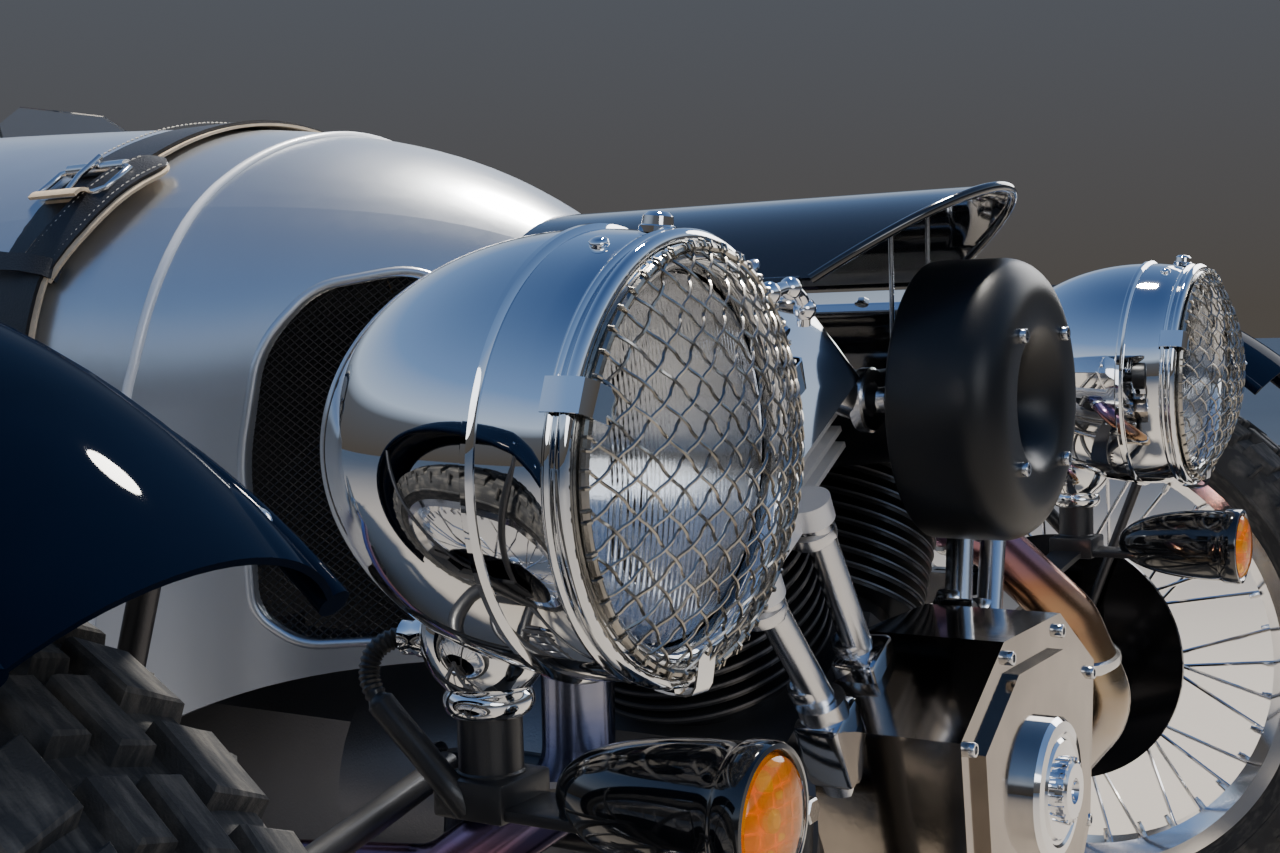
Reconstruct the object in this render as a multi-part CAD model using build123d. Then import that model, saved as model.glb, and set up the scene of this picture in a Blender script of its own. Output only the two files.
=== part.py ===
from build123d import *
import math
import os

# Open three-wheeled two-seater: two wire wheels and a bare V-twin in front, one driven wheel
# under a barrel tail. Millimetres, +Z up, the front points to -Y and +X is the car's left.
# Stations are measured back from the front axle, and the whole car is moved to its middle when
# it is saved. Pieces are drawn for the left side and mirrored where the right one is alike.

# Car
WHEELBASE = 2390
HALF_TRACK = 782
OVERALL_LENGTH = 3225
GROUND_CLEARANCE = 142

# Front wheel
TYRE_R = 330
TYRE_HALF = 54
LUGS = 36
LUG_DEEP = 9
LUG_LONG = 41
BEAD_R = 247
BEAD_HALF = 37.5
RIM_LIP = 12
HUB_R = 24
HUB_FLANGE_R = 44
HUB_FLANGE_HALF = 30
SPOKES = 36
SPOKE_R = 2.2
SPOKE_SWEEP = 52
DISC_R = 140
DISC_THICK = 6
DISC_INSET = 60
AXLE_R = 17.6
RUNNING_GAP = 0.4
SEAT_GAP = 0.3

# Steering
KINGPIN_X = 682
KINGPIN_R = 20
KINGPIN_LOW = 262
KINGPIN_HIGH = 398
ARM_BACK = 110
ARM_INWARD = 22
ARM_THICK = 12
RACK_Y = 190
RACK_Z = 176
RACK_HALF = 200
RACK_HOUSING_R = 24
RACK_BAR_R = 12
WHEEL_X = -215
WHEEL_Y = 1140
WHEEL_Z = 812
WHEEL_R = 172
COLUMN_RAKE = 24
SHAFT_R = 14
SHAFT_LONG = 455
COLUMN_R = 24

# Wings
WING_HALF = 66
WING_CENTRE_Y = 15
WING_CENTRE_Z = 360
WING_EDGE_R = 362
WING_CROWN = 32
WING_SKIN = 3
WING_BEAD_R = 4.5
WING_AHEAD = 41
WING_BEHIND = 105

# Rear wheel
REAR_R = 310
REAR_HALF = 98
REAR_BEAD_R = 206
REAR_BEAD_HALF = 82
REAR_GROOVE = 7
PULLEY_R = 112
PULLEY_X = 128
REAR_DISC_R = 128
ARM_X = 165

# Engine: crankshaft along Y, one finned cylinder leaning to each side
CRANK_Z = 338
V_HALF = 28
CASE_R = 140
CASE_FRONT = -111
CASE_BACK = 160
DECK = 150
BARREL_R = 92
BARREL_CORE_R = 66
BARREL_TOP = 285
FIN_PITCH = 11
FIN_THICK = 3.5
FIN_START = 178
HEAD_HIGH = 56
HEAD_RIBS = 5
RIB_THICK = 4
HEAD_FRONT = 100
CHEST_FRONT = -215
COVER_ROUND = 4

# Lamps
LAMP_X = 475
LAMP_Y = -221
LAMP_Z = 660
LAMP_TILT = 2
RING_R = 101
LENS_R = 85
BOWL_R = 104
BOWL_LONG = 196
END_R = 92
BOWL_TAPER = 11
BEAD_BACK = 50
STALK_Y = -100
PODS_Z = 500
POD_Y = -257
POD_R = 34
POD_LONG = 115

# Air drum and scoop over the engine
DRUM_Z = 662
DRUM_R = 95
DRUM_FRONT = -219
DRUM_BACK = -115
SCOOP_R = 147
SCOOP_TOP = 811
SCOOP_HALF = 120
SCOOP_SKIN = 3
SCOOP_FRONT = -179
SCOOP_RAKE = 1.254

# Body
NOSE_Y = 160
SCUTTLE_Y = 960
COWL_WALL = 8
TUB_WALL = 20
FLOOR_THICK = 8
FLOOR_TOP = GROUND_CLEARANCE + FLOOR_THICK
FRAME_X = 230
FRAME_Z = 215
FRAME_R = 19
TOWER_X = 205
TOWER_Z = 425
TOWER_R = 12
FOREAFT = 130

TO_MIDDLE = TYRE_R - OVERALL_LENGTH / 2

saved = {}


def save(name, *solids):
    flat = []
    for piece in solids:
        flat += list(piece.solids())
    saved[name] = Compound(children=[Pos(0, TO_MIDDLE, 0) * s for s in flat])


def pair(shape):
    return [shape, mirror(shape, about=Plane.YZ)]


def other_side(shape):
    return mirror(shape, about=Plane.YZ)


def turned(*outline):
    # a solid of revolution about Z from its (radius, height) corners
    return revolve(make_face(Polyline(*[(r, 0, z) for r, z in outline], close=True)), Axis.Z)


def to_left(shape):
    return Rot(0, 90, 0) * shape


def rod(start, end, r, bore=0):
    along = Vector(*end) - Vector(*start)
    plane = Plane(origin=start, z_dir=along)
    section = Circle(r) - Circle(bore) if bore else Circle(r)
    return extrude(plane * section, along.length)


def pipe(points, r, bend, bore=0):
    path = FilletPolyline(*points, radius=bend)
    plane = Plane(origin=path @ 0, z_dir=path % 0)
    section = Circle(r) - Circle(bore) if bore else Circle(r)
    return sweep(plane * section, path=path)


def block(low, high):
    size = [b - a for a, b in zip(low, high)]
    return Pos(*low) * Box(*size, align=(Align.MIN, Align.MIN, Align.MIN))


def slab(plane, outline, near, far):
    # an outline drawn on a plane, as thick as from near to far along the plane's normal
    face = make_face(plane.offset(near) * Polyline(*outline, close=True))
    return extrude(face, far - near, dir=plane.z_dir)


FRONT_VIEW = Plane(origin=(0, 0, 0), x_dir=(1, 0, 0), z_dir=(0, -1, 0))
SIDE_VIEW = Plane(origin=(0, 0, 0), x_dir=(0, 1, 0), z_dir=(1, 0, 0))


def from_front(outline, y_front, y_back):
    return slab(FRONT_VIEW, outline, -y_back, -y_front)


def from_side(outline, x_low, x_high):
    return slab(SIDE_VIEW, outline, x_low, x_high)


# Front wheels: tyre, rim with laced spokes on its hub, brake disc inboard

def tyre_front():
    # a plain carcass with three staggered rows of tread blocks
    half = TYRE_HALF - 2
    crown = TYRE_R - LUG_DEEP
    side = [(BEAD_R, BEAD_HALF), (BEAD_R + 12, BEAD_HALF), (BEAD_R + 20, half - 7), (BEAD_R + 43, half),
            (crown - 12, half - 4), (crown - 3, half - 16), (crown, 0)]
    carcass = turned(*side, *[(r, -across) for r, across in reversed(side[:-1])])
    middle = [(crown - 5, -17), (TYRE_R, -15), (TYRE_R, 15), (crown - 5, 17)]
    shoulder = [(crown - 9, 23), (TYRE_R - 3, 24), (TYRE_R - 9, half - 6), (BEAD_R + 50, TYRE_HALF),
                (BEAD_R + 46, half - 3)]
    lugs = []
    for outline, offset in ((middle, 0), (shoulder, 0.5), ([(r, -z) for r, z in shoulder], 0.5)):
        face = make_face(Polyline(*[(r, -LUG_LONG / 2, z) for r, z in outline], close=True))
        lug = extrude(face, LUG_LONG, dir=(0, 1, 0))
        lugs += [Rot(0, 0, (place + offset) * 360 / LUGS) * lug for place in range(LUGS)]
    return carcass + lugs


def rim_front():
    seat = BEAD_R - SEAT_GAP
    lip = BEAD_R + RIM_LIP - 1
    edge = BEAD_HALF + SEAT_GAP
    well = seat - 14
    inner = well - 6
    hoop = turned((seat, -edge), (lip, -edge), (lip, -edge - 4), (seat - 4, -edge - 5), (inner, -16),
                  (inner, 16), (seat - 4, edge + 5), (lip, edge + 4), (lip, edge), (seat, edge),
                  (well, 14), (well, -14))
    bore = AXLE_R + RUNNING_GAP
    hub = turned((bore, -DISC_INSET), (DISC_R, -DISC_INSET), (DISC_R, DISC_THICK - DISC_INSET),
                 (62, DISC_THICK - DISC_INSET), (46, -HUB_FLANGE_HALF - 8), (HUB_R, -HUB_FLANGE_HALF - 8),
                 (HUB_R, -HUB_FLANGE_HALF - 3), (HUB_FLANGE_R, -HUB_FLANGE_HALF - 3),
                 (HUB_FLANGE_R, 3 - HUB_FLANGE_HALF), (HUB_R, 3 - HUB_FLANGE_HALF),
                 (HUB_R, HUB_FLANGE_HALF - 3), (HUB_FLANGE_R, HUB_FLANGE_HALF - 3),
                 (HUB_FLANGE_R, HUB_FLANGE_HALF + 3), (30, HUB_FLANGE_HALF + 8),
                 (28, 62), (14, 70), (0, 70), (0, HUB_FLANGE_HALF), (bore, HUB_FLANGE_HALF))
    spokes = []
    for i in range(SPOKES):
        side = 1 if i % 2 else -1
        lean = 1 if i // 2 % 2 else -1
        at_rim = math.radians(i * 360 / SPOKES)
        at_hub = at_rim + lean * math.radians(SPOKE_SWEEP)
        start = ((HUB_FLANGE_R - 5) * math.cos(at_hub), (HUB_FLANGE_R - 5) * math.sin(at_hub),
                 side * HUB_FLANGE_HALF + lean * 5)
        end = ((inner + 3) * math.cos(at_rim), (inner + 3) * math.sin(at_rim), side * 6 + lean * 2)
        along = Vector(*end) - Vector(*start)
        plane = Plane(origin=start, z_dir=along)
        spokes.append(extrude(plane * RegularPolygon(SPOKE_R, 6), along.length))
    return hoop + [hub, *spokes]


hub_place = Pos(HALF_TRACK, 0, TYRE_R)
tyre_left = hub_place * to_left(tyre_front())
rim_left = hub_place * to_left(rim_front())
save("tyre_front_left", tyre_left)
save("tyre_front_right", other_side(tyre_left))
save("rim_front_left", rim_left)
save("rim_front_right", other_side(rim_left))

# Knuckles: kingpin barrel, stub axle, steering arm, caliper and the stays that carry the wing

disc_face = HALF_TRACK - DISC_INSET
barrel = rod((KINGPIN_X, 0, KINGPIN_LOW), (KINGPIN_X, 0, KINGPIN_HIGH), KINGPIN_R)
stub = rod((KINGPIN_X, 0, TYRE_R), (HALF_TRACK + HUB_FLANGE_HALF - 2, 0, TYRE_R), AXLE_R)
arm = extrude(Pos(0, 0, KINGPIN_LOW) * make_face(Polyline(
    (KINGPIN_X - 18, -6), (KINGPIN_X + 18, -6), (KINGPIN_X - ARM_INWARD + 14, ARM_BACK + 12),
    (KINGPIN_X - ARM_INWARD - 14, ARM_BACK + 12), close=True)), ARM_THICK)
stay_plate = block((KINGPIN_X + 12, -46, 300), (KINGPIN_X + 24, 46, 392))
caliper = block((disc_face - 20, 92, TYRE_R - 10), (disc_face + DISC_THICK + 20, 158, TYRE_R + 92))
caliper -= block((disc_face - 2, 80, TYRE_R - 20),
                 (disc_face + DISC_THICK + 2, 148, TYRE_R + 100))
caliper_arm = block((KINGPIN_X + 12, 40, TYRE_R + 10), (disc_face - 6, 96, TYRE_R + 50))
knuckle = barrel + stub + arm + stay_plate + caliper_arm + caliper
for back in (-150, 180):
    drop = math.sqrt(WING_EDGE_R ** 2 - (back - WING_CENTRE_Y) ** 2)
    foot_y = 40 if back > 0 else -40
    knuckle += rod((KINGPIN_X + 25, foot_y, 384),
                   (HALF_TRACK - WING_HALF + 1, back, WING_CENTRE_Z + drop - WING_BEAD_R + 2), 5.5)
save("knuckle_left", knuckle)
save("knuckle_right", other_side(knuckle))


def wing():
    axis = Axis((0, WING_CENTRE_Y, WING_CENTRE_Z), (1, 0, 0))

    def spot(across, r):
        return (HALF_TRACK + across, WING_CENTRE_Y, WING_CENTRE_Z + r)

    outer = ThreePointArc(spot(-WING_HALF, WING_EDGE_R), spot(0, WING_EDGE_R + WING_CROWN),
                          spot(WING_HALF, WING_EDGE_R))
    inner = ThreePointArc(spot(WING_HALF - WING_SKIN, WING_EDGE_R),
                          spot(0, WING_EDGE_R + WING_CROWN - WING_SKIN),
                          spot(WING_SKIN - WING_HALF, WING_EDGE_R))
    skin = make_face([outer, Line(outer @ 1, inner @ 0), inner, Line(inner @ 1, outer @ 0)])
    sweep_angle = -(WING_AHEAD + WING_BEHIND)
    form = revolve(skin.rotate(axis, WING_AHEAD), axis, sweep_angle)
    for side in (-1, 1):
        centre = Plane(origin=spot(side * (WING_HALF - 2), WING_EDGE_R), z_dir=(0, -1, 0))
        bead = (centre * Circle(WING_BEAD_R)).rotate(axis, WING_AHEAD)
        form += revolve(bead, axis, sweep_angle)
    return form


wing_left = wing() - knuckle
save("wing_left", wing_left)
save("wing_right", other_side(wing_left))

# Steering rack, the bar with its tie rods, column and steering wheel

rack_housing = rod((-RACK_HALF, RACK_Y, RACK_Z), (RACK_HALF, RACK_Y, RACK_Z), RACK_HOUSING_R,
                   RACK_BAR_R + 1)
for side in (-1, 1):
    for ring in range(5):
        x = side * (RACK_HALF - 60 + 12 * ring)
        rack_housing += rod((x - 3, RACK_Y, RACK_Z), (x + 3, RACK_Y, RACK_Z), RACK_HOUSING_R + 5,
                            RACK_BAR_R + 1)
bar_end = RACK_HALF + 75
rack_bar = rod((-bar_end, RACK_Y, RACK_Z), (bar_end, RACK_Y, RACK_Z), RACK_BAR_R)
tie_end = (KINGPIN_X - ARM_INWARD, ARM_BACK, KINGPIN_LOW - 8)
joint_end = bar_end + 24
for side in (-1, 1):
    end = (side * tie_end[0], tie_end[1], tie_end[2])
    rack_bar += rod((side * (bar_end - 8), RACK_Y, RACK_Z), (side * joint_end, RACK_Y, RACK_Z),
                    RACK_BAR_R + 5)
    rack_bar += rod((side * (joint_end - 10), RACK_Y, RACK_Z), end, 7)
    rack_bar += Pos(end[0], end[1], end[2] - 1.5) * Cylinder(13, 18 - 2 * SEAT_GAP)
save("tie_rods", rack_bar)

rake = math.radians(COLUMN_RAKE)
column_up = Vector(0, math.cos(rake), math.sin(rake))
wheel_centre = Vector(WHEEL_X, WHEEL_Y, WHEEL_Z)
wheel_plane = Plane(origin=wheel_centre, x_dir=(1, 0, 0), z_dir=column_up)
steering_wheel = Torus(WHEEL_R, 15) + Pos(0, 0, -18) * Cylinder(34, 26)
steering_wheel += Pos(0, 0, -20) * Cylinder(SHAFT_R, SHAFT_LONG, align=(Align.CENTER, Align.CENTER, Align.MAX))
for turn in (0, 120, 240):
    steering_wheel += Rot(0, 0, turn + 90) * block((20, -14, -14), (WHEEL_R - 4, 14, -9))
save("steering_wheel", wheel_plane * steering_wheel)

# Rear wheel with its belt pulley and brake disc

def tyre_rear():
    half = REAR_HALF
    shoulder = REAR_R - 16
    outline = [(REAR_BEAD_R, -REAR_BEAD_HALF), (REAR_BEAD_R, REAR_BEAD_HALF),
               (REAR_BEAD_R + 14, REAR_BEAD_HALF), (REAR_BEAD_R + 30, half - 4),
               (REAR_BEAD_R + 60, half), (shoulder, half - 10), (REAR_R, half - 28)]
    for groove in (42, 0, -42):
        outline += [(REAR_R, groove + 5), (REAR_R - REAR_GROOVE, groove + 4),
                    (REAR_R - REAR_GROOVE, groove - 4), (REAR_R, groove - 5)]
    outline += [(REAR_R, 28 - half), (shoulder, 10 - half), (REAR_BEAD_R + 60, -half),
                (REAR_BEAD_R + 30, 4 - half), (REAR_BEAD_R + 14, -REAR_BEAD_HALF)]
    return turned(*outline)


def wheel_rear():
    seat = REAR_BEAD_R - SEAT_GAP
    edge = REAR_BEAD_HALF + SEAT_GAP
    bore = 12.5 + RUNNING_GAP
    hoop = turned((seat, -edge), (seat + 12, -edge), (seat + 12, -edge - 6), (seat - 8, -edge - 6),
                  (seat - 22, -40), (seat - 22, 40), (seat - 8, edge + 6), (seat + 12, edge + 6),
                  (seat + 12, edge), (seat, edge), (seat - 14, 44), (seat - 14, -44))
    hub = turned((bore, -REAR_HALF - 34), (34, -REAR_HALF - 34), (34, -REAR_HALF - 28),
                 (REAR_DISC_R, -REAR_HALF - 28), (REAR_DISC_R, -REAR_HALF - 22), (40, -REAR_HALF - 22),
                 (40, -12), (seat - 20, -12), (seat - 20, 12), (40, 12), (40, PULLEY_X - 18),
                 (PULLEY_R, PULLEY_X - 18), (PULLEY_R, PULLEY_X + 16), (34, PULLEY_X + 16),
                 (bore, PULLEY_X + 16))
    wheel = hoop + hub
    for turn in range(6):
        wheel -= Rot(0, 0, 60 * turn) * Pos(112, 0, 0) * Cylinder(38, 40)
    return wheel


rear_place = Pos(0, WHEELBASE, REAR_R)
save("tyre_rear", rear_place * to_left(tyre_rear()))
save("wheel_rear", rear_place * to_left(wheel_rear()))

# Swinging arm with the rear axle

axle = (WHEELBASE, REAR_R)
pivot = (1975, 300)
ARM_THICK_REAR = 18
ARM_FACE = ARM_X + ARM_THICK_REAR / 2
PIVOT_PIN_R = 12
PIVOT_PLATE = 10
DAMPER_EYE_R = 13
DAMPER_EYE_HALF = 13
REAR_DAMPER_X = ARM_X + 50
REAR_DAMPER_LOW = (2190, 309)
REAR_DAMPER_HIGH = (2090, 560)
swingarm = rod((-ARM_X - 12, *axle), (ARM_X + 12, *axle), 12.5)
swingarm += rod((-ARM_X, *pivot), (ARM_X, *pivot), 24)
pin_end = ARM_FACE + SEAT_GAP + PIVOT_PLATE
swingarm += rod((-pin_end, *pivot), (pin_end, *pivot), PIVOT_PIN_R)
for side in (-1, 1):
    swingarm += rod((side * ARM_X, *REAR_DAMPER_LOW),
                    (side * (REAR_DAMPER_X - DAMPER_EYE_HALF - SEAT_GAP), *REAR_DAMPER_LOW), 11)
for shape in pair(from_side([(pivot[0] - 20, pivot[1] - 30), (axle[0] + 30, axle[1] - 26),
                             (axle[0] + 30, axle[1] + 26), (pivot[0] - 20, pivot[1] + 34)],
                            ARM_X - ARM_THICK_REAR / 2, ARM_FACE)):
    swingarm += shape
save("swingarm", swingarm)

# Bodywork: one table of sections for the nose cowl, one for the tub and barrel tail

COWL_SECTIONS = (
    # station, half width, shoulder height, top height, lower edge
    (NOSE_Y, 84, 727, 811, 470),
    (227, 133, 713, 846, 466),
    (330, 205, 677, 881, 450),
    (560, 275, 685, 912, 330),
    (760, 368, 690, 922, 235),
    (SCUTTLE_Y, 455, 700, 925, GROUND_CLEARANCE + FLOOR_THICK),
)
TUB_SECTIONS = (
    # station, half width, shoulder height, top height, lower edge
    (SCUTTLE_Y, 455, 700, 925, GROUND_CLEARANCE + FLOOR_THICK),
    (1400, 490, 690, 880, GROUND_CLEARANCE + FLOOR_THICK),
    (1900, 440, 670, 850, GROUND_CLEARANCE + FLOOR_THICK + 30),
    (2400, 300, 600, 755, 380),
    (OVERALL_LENGTH - TYRE_R, 95, 520, 600, 440),
)
LEAN = math.radians(45)


def arch(station, half, shoulder, top, low, inset=0, drop=0):
    # upright sides, two corner arcs and one crown arc that meet smoothly
    half -= inset
    top -= inset
    low -= drop
    rise = top - shoulder
    corner = (rise - half * math.tan(LEAN / 2)) / (1 - math.tan(LEAN / 2))
    corner = max(min(corner, half * 0.999), 4)
    join_x = half - corner + corner * math.sin(LEAN)
    join_z = shoulder + corner * math.cos(LEAN)
    mid = LEAN / 2
    mid_x = half - corner + corner * math.cos(mid)
    mid_z = shoulder + corner * math.sin(mid)

    def p(x, z):
        return (x, station, z)

    return make_face([
        Line(p(-half, low), p(-half, shoulder)),
        ThreePointArc(p(-half, shoulder), p(-mid_x, mid_z), p(-join_x, join_z)),
        ThreePointArc(p(-join_x, join_z), p(0, top), p(join_x, join_z)),
        ThreePointArc(p(join_x, join_z), p(mid_x, mid_z), p(half, shoulder)),
        Line(p(half, shoulder), p(half, low)),
        Line(p(half, low), p(-half, low)),
    ])


def barrel_form(sections, inset=0, drop=0):
    return loft([arch(*row, inset=inset, drop=drop) for row in sections])


cowl_outer = barrel_form(COWL_SECTIONS)
cowl_inner = barrel_form(COWL_SECTIONS, inset=COWL_WALL, drop=60)
cowl_inner -= block((-500, NOSE_Y - 5, 0), (500, NOSE_Y + COWL_WALL, 1000))
cowl = cowl_outer - cowl_inner
cowl -= block((-600, 0, -200), (600, SCUTTLE_Y, FLOOR_TOP))
SIDE_OPENING = (
    # station, height, corner radius
    (186, 500, 20), (186, 735, 40), (227, 767, 45), (290, 754, 40), (319, 712, 100),
    (332, 628, 200), (330, 510, 36), (300, 486, 40), (210, 486, 30),
)
opening_edge = FilletPolyline(*[SIDE_VIEW.offset(62).from_local_coords((y, z)) for y, z, r in SIDE_OPENING],
                              radius=[r for y, z, r in SIDE_OPENING], close=True)
opening_cut = extrude(make_face(opening_edge), 240, dir=(1, 0, 0))
for shape in pair(opening_cut):
    cowl -= shape
save("cowl", cowl)

screen_band = barrel_form(COWL_SECTIONS, inset=COWL_WALL + SEAT_GAP, drop=20)
screen_band -= barrel_form(COWL_SECTIONS, inset=COWL_WALL + SEAT_GAP + 3, drop=60)
screen_zone = from_side([(180, 476), (180, 775), (335, 775), (340, 476)], 55, 300)
grille = screen_band & screen_zone
save("cowl_grilles", grille, other_side(grille))

strap_band = barrel_form(COWL_SECTIONS, inset=-4.5)
strap_band -= barrel_form(COWL_SECTIONS, inset=-SEAT_GAP, drop=60)
save("cowl_strap", strap_band & block((-400, 488, 560), (400, 532, 1000)))

tub_outer = barrel_form(TUB_SECTIONS)
tub_inner = barrel_form(TUB_SECTIONS, inset=TUB_WALL, drop=60)
WELL_Y = WHEELBASE - REAR_R - 45
TAIL_END = TUB_SECTIONS[-1][0]
hollow = tub_inner & block((-600, SCUTTLE_Y - 5, 0), (600, TAIL_END - TUB_WALL, 1000))
tub = tub_outer - hollow
tub -= block((-600, 0, -200), (600, WELL_Y, FLOOR_TOP))
COCKPIT_FRONT = 1015
COCKPIT_BACK = 1740
COCKPIT_HALF = 412
cockpit = extrude(Pos(0, (COCKPIT_FRONT + COCKPIT_BACK) / 2, 640) *
                  RectangleRounded(2 * COCKPIT_HALF, COCKPIT_BACK - COCKPIT_FRONT, 120), 400)
tub -= cockpit
LID_FRONT = 1830
LID_BACK = 2020
LID_HALF = 300
LID_GAP = 3
lid_zone = extrude(Pos(0, (LID_FRONT + LID_BACK) / 2, 700) *
                   RectangleRounded(2 * LID_HALF, LID_BACK - LID_FRONT, 40), 300)
lid_hole = extrude(Pos(0, (LID_FRONT + LID_BACK) / 2, 700) *
                   RectangleRounded(2 * (LID_HALF + LID_GAP), LID_BACK - LID_FRONT + 2 * LID_GAP, 43),
                   300)
lid_form = tub_outer - tub_inner
boot_lid = lid_form & lid_zone
tub -= lid_hole
# three-knuckle hinges at the lid's front edge, the middle knuckle on the lid
HINGE_Z = 863
HINGE_R = 5
HINGE_X = 65
KNUCKLE_LONG = 30
LEAF_LONG = 26


def hinge_piece(x_low, x_high, leaf_to):
    # the barrel, the leaf that lies on the panel and the strap that joins them above the panel
    shape = rod((x_low, LID_FRONT, HINGE_Z), (x_high, LID_FRONT, HINGE_Z), HINGE_R)
    away = math.copysign(LID_GAP + 0.5, leaf_to - LID_FRONT)
    near, far = sorted((LID_FRONT + away, leaf_to))
    strap_near, strap_far = sorted((LID_FRONT, LID_FRONT + 2 * away))
    shape += block((x_low, near, HINGE_Z - 14), (x_high, far, HINGE_Z - 1))
    return shape + block((x_low, strap_near, HINGE_Z - 4), (x_high, strap_far, HINGE_Z - 1))


for side in (-1, 1):
    centre = side * HINGE_X
    half = KNUCKLE_LONG / 2
    boot_lid += hinge_piece(centre - half, centre + half, LID_FRONT + LEAF_LONG)
    tub += hinge_piece(centre + half + SEAT_GAP, centre + half + 15, LID_FRONT - LEAF_LONG)
    tub += hinge_piece(centre - half - 15, centre - half - SEAT_GAP, LID_FRONT - LEAF_LONG)

# Roll hoops stand through the deck behind each seat
hoops = []
HOOP_Y = 1785
HOOP_TOP = 1000
HOOP_R = 19
HOOP_INNER = 95
HOOP_OUTER = 345
for shape in pair(pipe([(HOOP_INNER, HOOP_Y, 700), (HOOP_INNER, HOOP_Y, HOOP_TOP - HOOP_R),
                        (HOOP_OUTER, HOOP_Y, HOOP_TOP - HOOP_R), (HOOP_OUTER, HOOP_Y, 700)],
                       HOOP_R, 90)):
    hoops.append(shape)
for hoop in hoops:
    tub -= hoop
save("roll_hoops", *hoops)
save("body_shell", tub)
save("boot_lid", boot_lid)

# Floor, rear bulkhead and firewall

floor_outline = [(row[1] - 1, row[0]) for row in COWL_SECTIONS[4:]]
floor_outline += [(row[1] - 1, row[0]) for row in TUB_SECTIONS[1:2]]
floor_outline += [(440, 1900), (400, WELL_Y)]
floor_outline += [(-x, y) for x, y in reversed(floor_outline)]
floor_pan = extrude(Pos(0, 0, GROUND_CLEARANCE) * make_face(Polyline(*floor_outline, close=True)),
                    FLOOR_THICK - SEAT_GAP)
save("floor_pan", floor_pan)

bulkhead_form = barrel_form(TUB_SECTIONS, inset=TUB_WALL + SEAT_GAP)
bulkhead = bulkhead_form & block((-600, 1752, 200), (600, 1764, 1000))
for side in (-1, 1):
    bulkhead -= rod((side * FRAME_X, 1700, FRAME_Z), (side * FRAME_X, 1800, FRAME_Z),
                    FRAME_R + SEAT_GAP)
firewall_form = barrel_form(COWL_SECTIONS, inset=COWL_WALL + SEAT_GAP)
firewall = firewall_form & block((-600, 566, 200), (600, 574, 1000))
firewall -= block((-100, 560, 200), (100, 580, 445))
boot_floor = block((-390, 1765, 420), (390, WELL_Y - 12, 428)) & bulkhead_form
boot_wall = bulkhead_form & block((-600, WELL_Y - 12, 340), (600, WELL_Y, 1000))
for side in (-1, 1):
    x = side * REAR_DAMPER_X
    boot_wall += block((x - 13, WELL_Y - 4, REAR_DAMPER_HIGH[1] - 12),
                       (x + 13, REAR_DAMPER_HIGH[0] - DAMPER_EYE_R - SEAT_GAP, REAR_DAMPER_HIGH[1] + 12))
save("bulkheads", firewall, bulkhead, boot_floor, boot_wall)

dash_form = bulkhead_form & block((-600, SCUTTLE_Y + 2, 640), (600, SCUTTLE_Y + 16, 1000))
column_tube = rod(wheel_centre - column_up * 60, wheel_centre - column_up * (SHAFT_LONG + 20),
                  COLUMN_R, SHAFT_R + RUNNING_GAP)
dash = dash_form - rod(wheel_centre, wheel_centre - column_up * 560, COLUMN_R + SEAT_GAP)
save("dashboard", dash)
save("steering_column", column_tube)

# Frame under the body

rails = [rod((side * FRAME_X, -150, FRAME_Z), (side * FRAME_X, 1950, FRAME_Z), FRAME_R)
         for side in (-1, 1)]
frame = list(rails)
for y in (-128, 560, 960, 1400, 1900):
    cross = rod((-FRAME_X, y, FRAME_Z), (FRAME_X, y, FRAME_Z), 16)
    frame.append(cross - rails[0] - rails[1])
FRONT_CROSS, BACK_CROSS = 2, 6
TOW_EYE_R = 12
eye = Pos(0, -172, FRAME_Z) * (Cylinder(24, 10) - Cylinder(TOW_EYE_R, 10))
eye += block((-12, -154, FRAME_Z - 5), (12, -134, FRAME_Z + 5)) - rod(
    (-50, -128, FRAME_Z), (50, -128, FRAME_Z), 16)
frame[FRONT_CROSS] = frame[FRONT_CROSS] + eye
for side in (-1, 1):
    near, far = sorted((side * (ARM_FACE + SEAT_GAP), side * pin_end))
    plate = from_side([(1890, 205), (1945, 205), (2003, 280), (2003, 318), (1985, 330), (1960, 330),
                       (1890, 240)], near, far)
    plate -= rod((-400, *pivot), (400, *pivot), PIVOT_PIN_R + SEAT_GAP)
    frame[BACK_CROSS] = frame[BACK_CROSS] + plate
PAD_Z = FRAME_Z - FRAME_R - 8
for side in (0, 1):
    x = FRAME_X * (2 * side - 1)
    frame[side] = frame[side] + block((x - 28, 320, PAD_Z), (x + 28, 380, FRAME_Z - 4))
uprights = []
for y in (-FOREAFT, FOREAFT):
    for side in (-1, 1):
        upright = rod((side * FRAME_X, y, FRAME_Z), (side * TOWER_X, y, TOWER_Z), TOWER_R)
        uprights.append(upright - rails[0] - rails[1] - frame[FRONT_CROSS])
frame += uprights
TOWER_BAR_R = 9
MID_BAR_X = TOWER_X + 5.6
MID_BAR_Z = 378
for side in (-1, 1):
    top_bar = rod((side * TOWER_X, -FOREAFT, TOWER_Z - 4), (side * TOWER_X, FOREAFT, TOWER_Z - 4),
                  TOWER_BAR_R)
    for tube in uprights:
        top_bar -= tube
    frame.append(max(top_bar.solids(), key=lambda piece: piece.volume))
    mid_bar = rod((side * MID_BAR_X, -FOREAFT, MID_BAR_Z), (side * MID_BAR_X, FOREAFT, MID_BAR_Z),
                  TOWER_BAR_R)
    for tube in uprights:
        mid_bar -= tube
    frame.append(max(mid_bar.solids(), key=lambda piece: piece.volume))
save("frame_tubes", *frame)
save("steering_rack", rack_housing)

# Suspension: wishbones in tube, coil springs over dampers, all at rest

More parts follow.
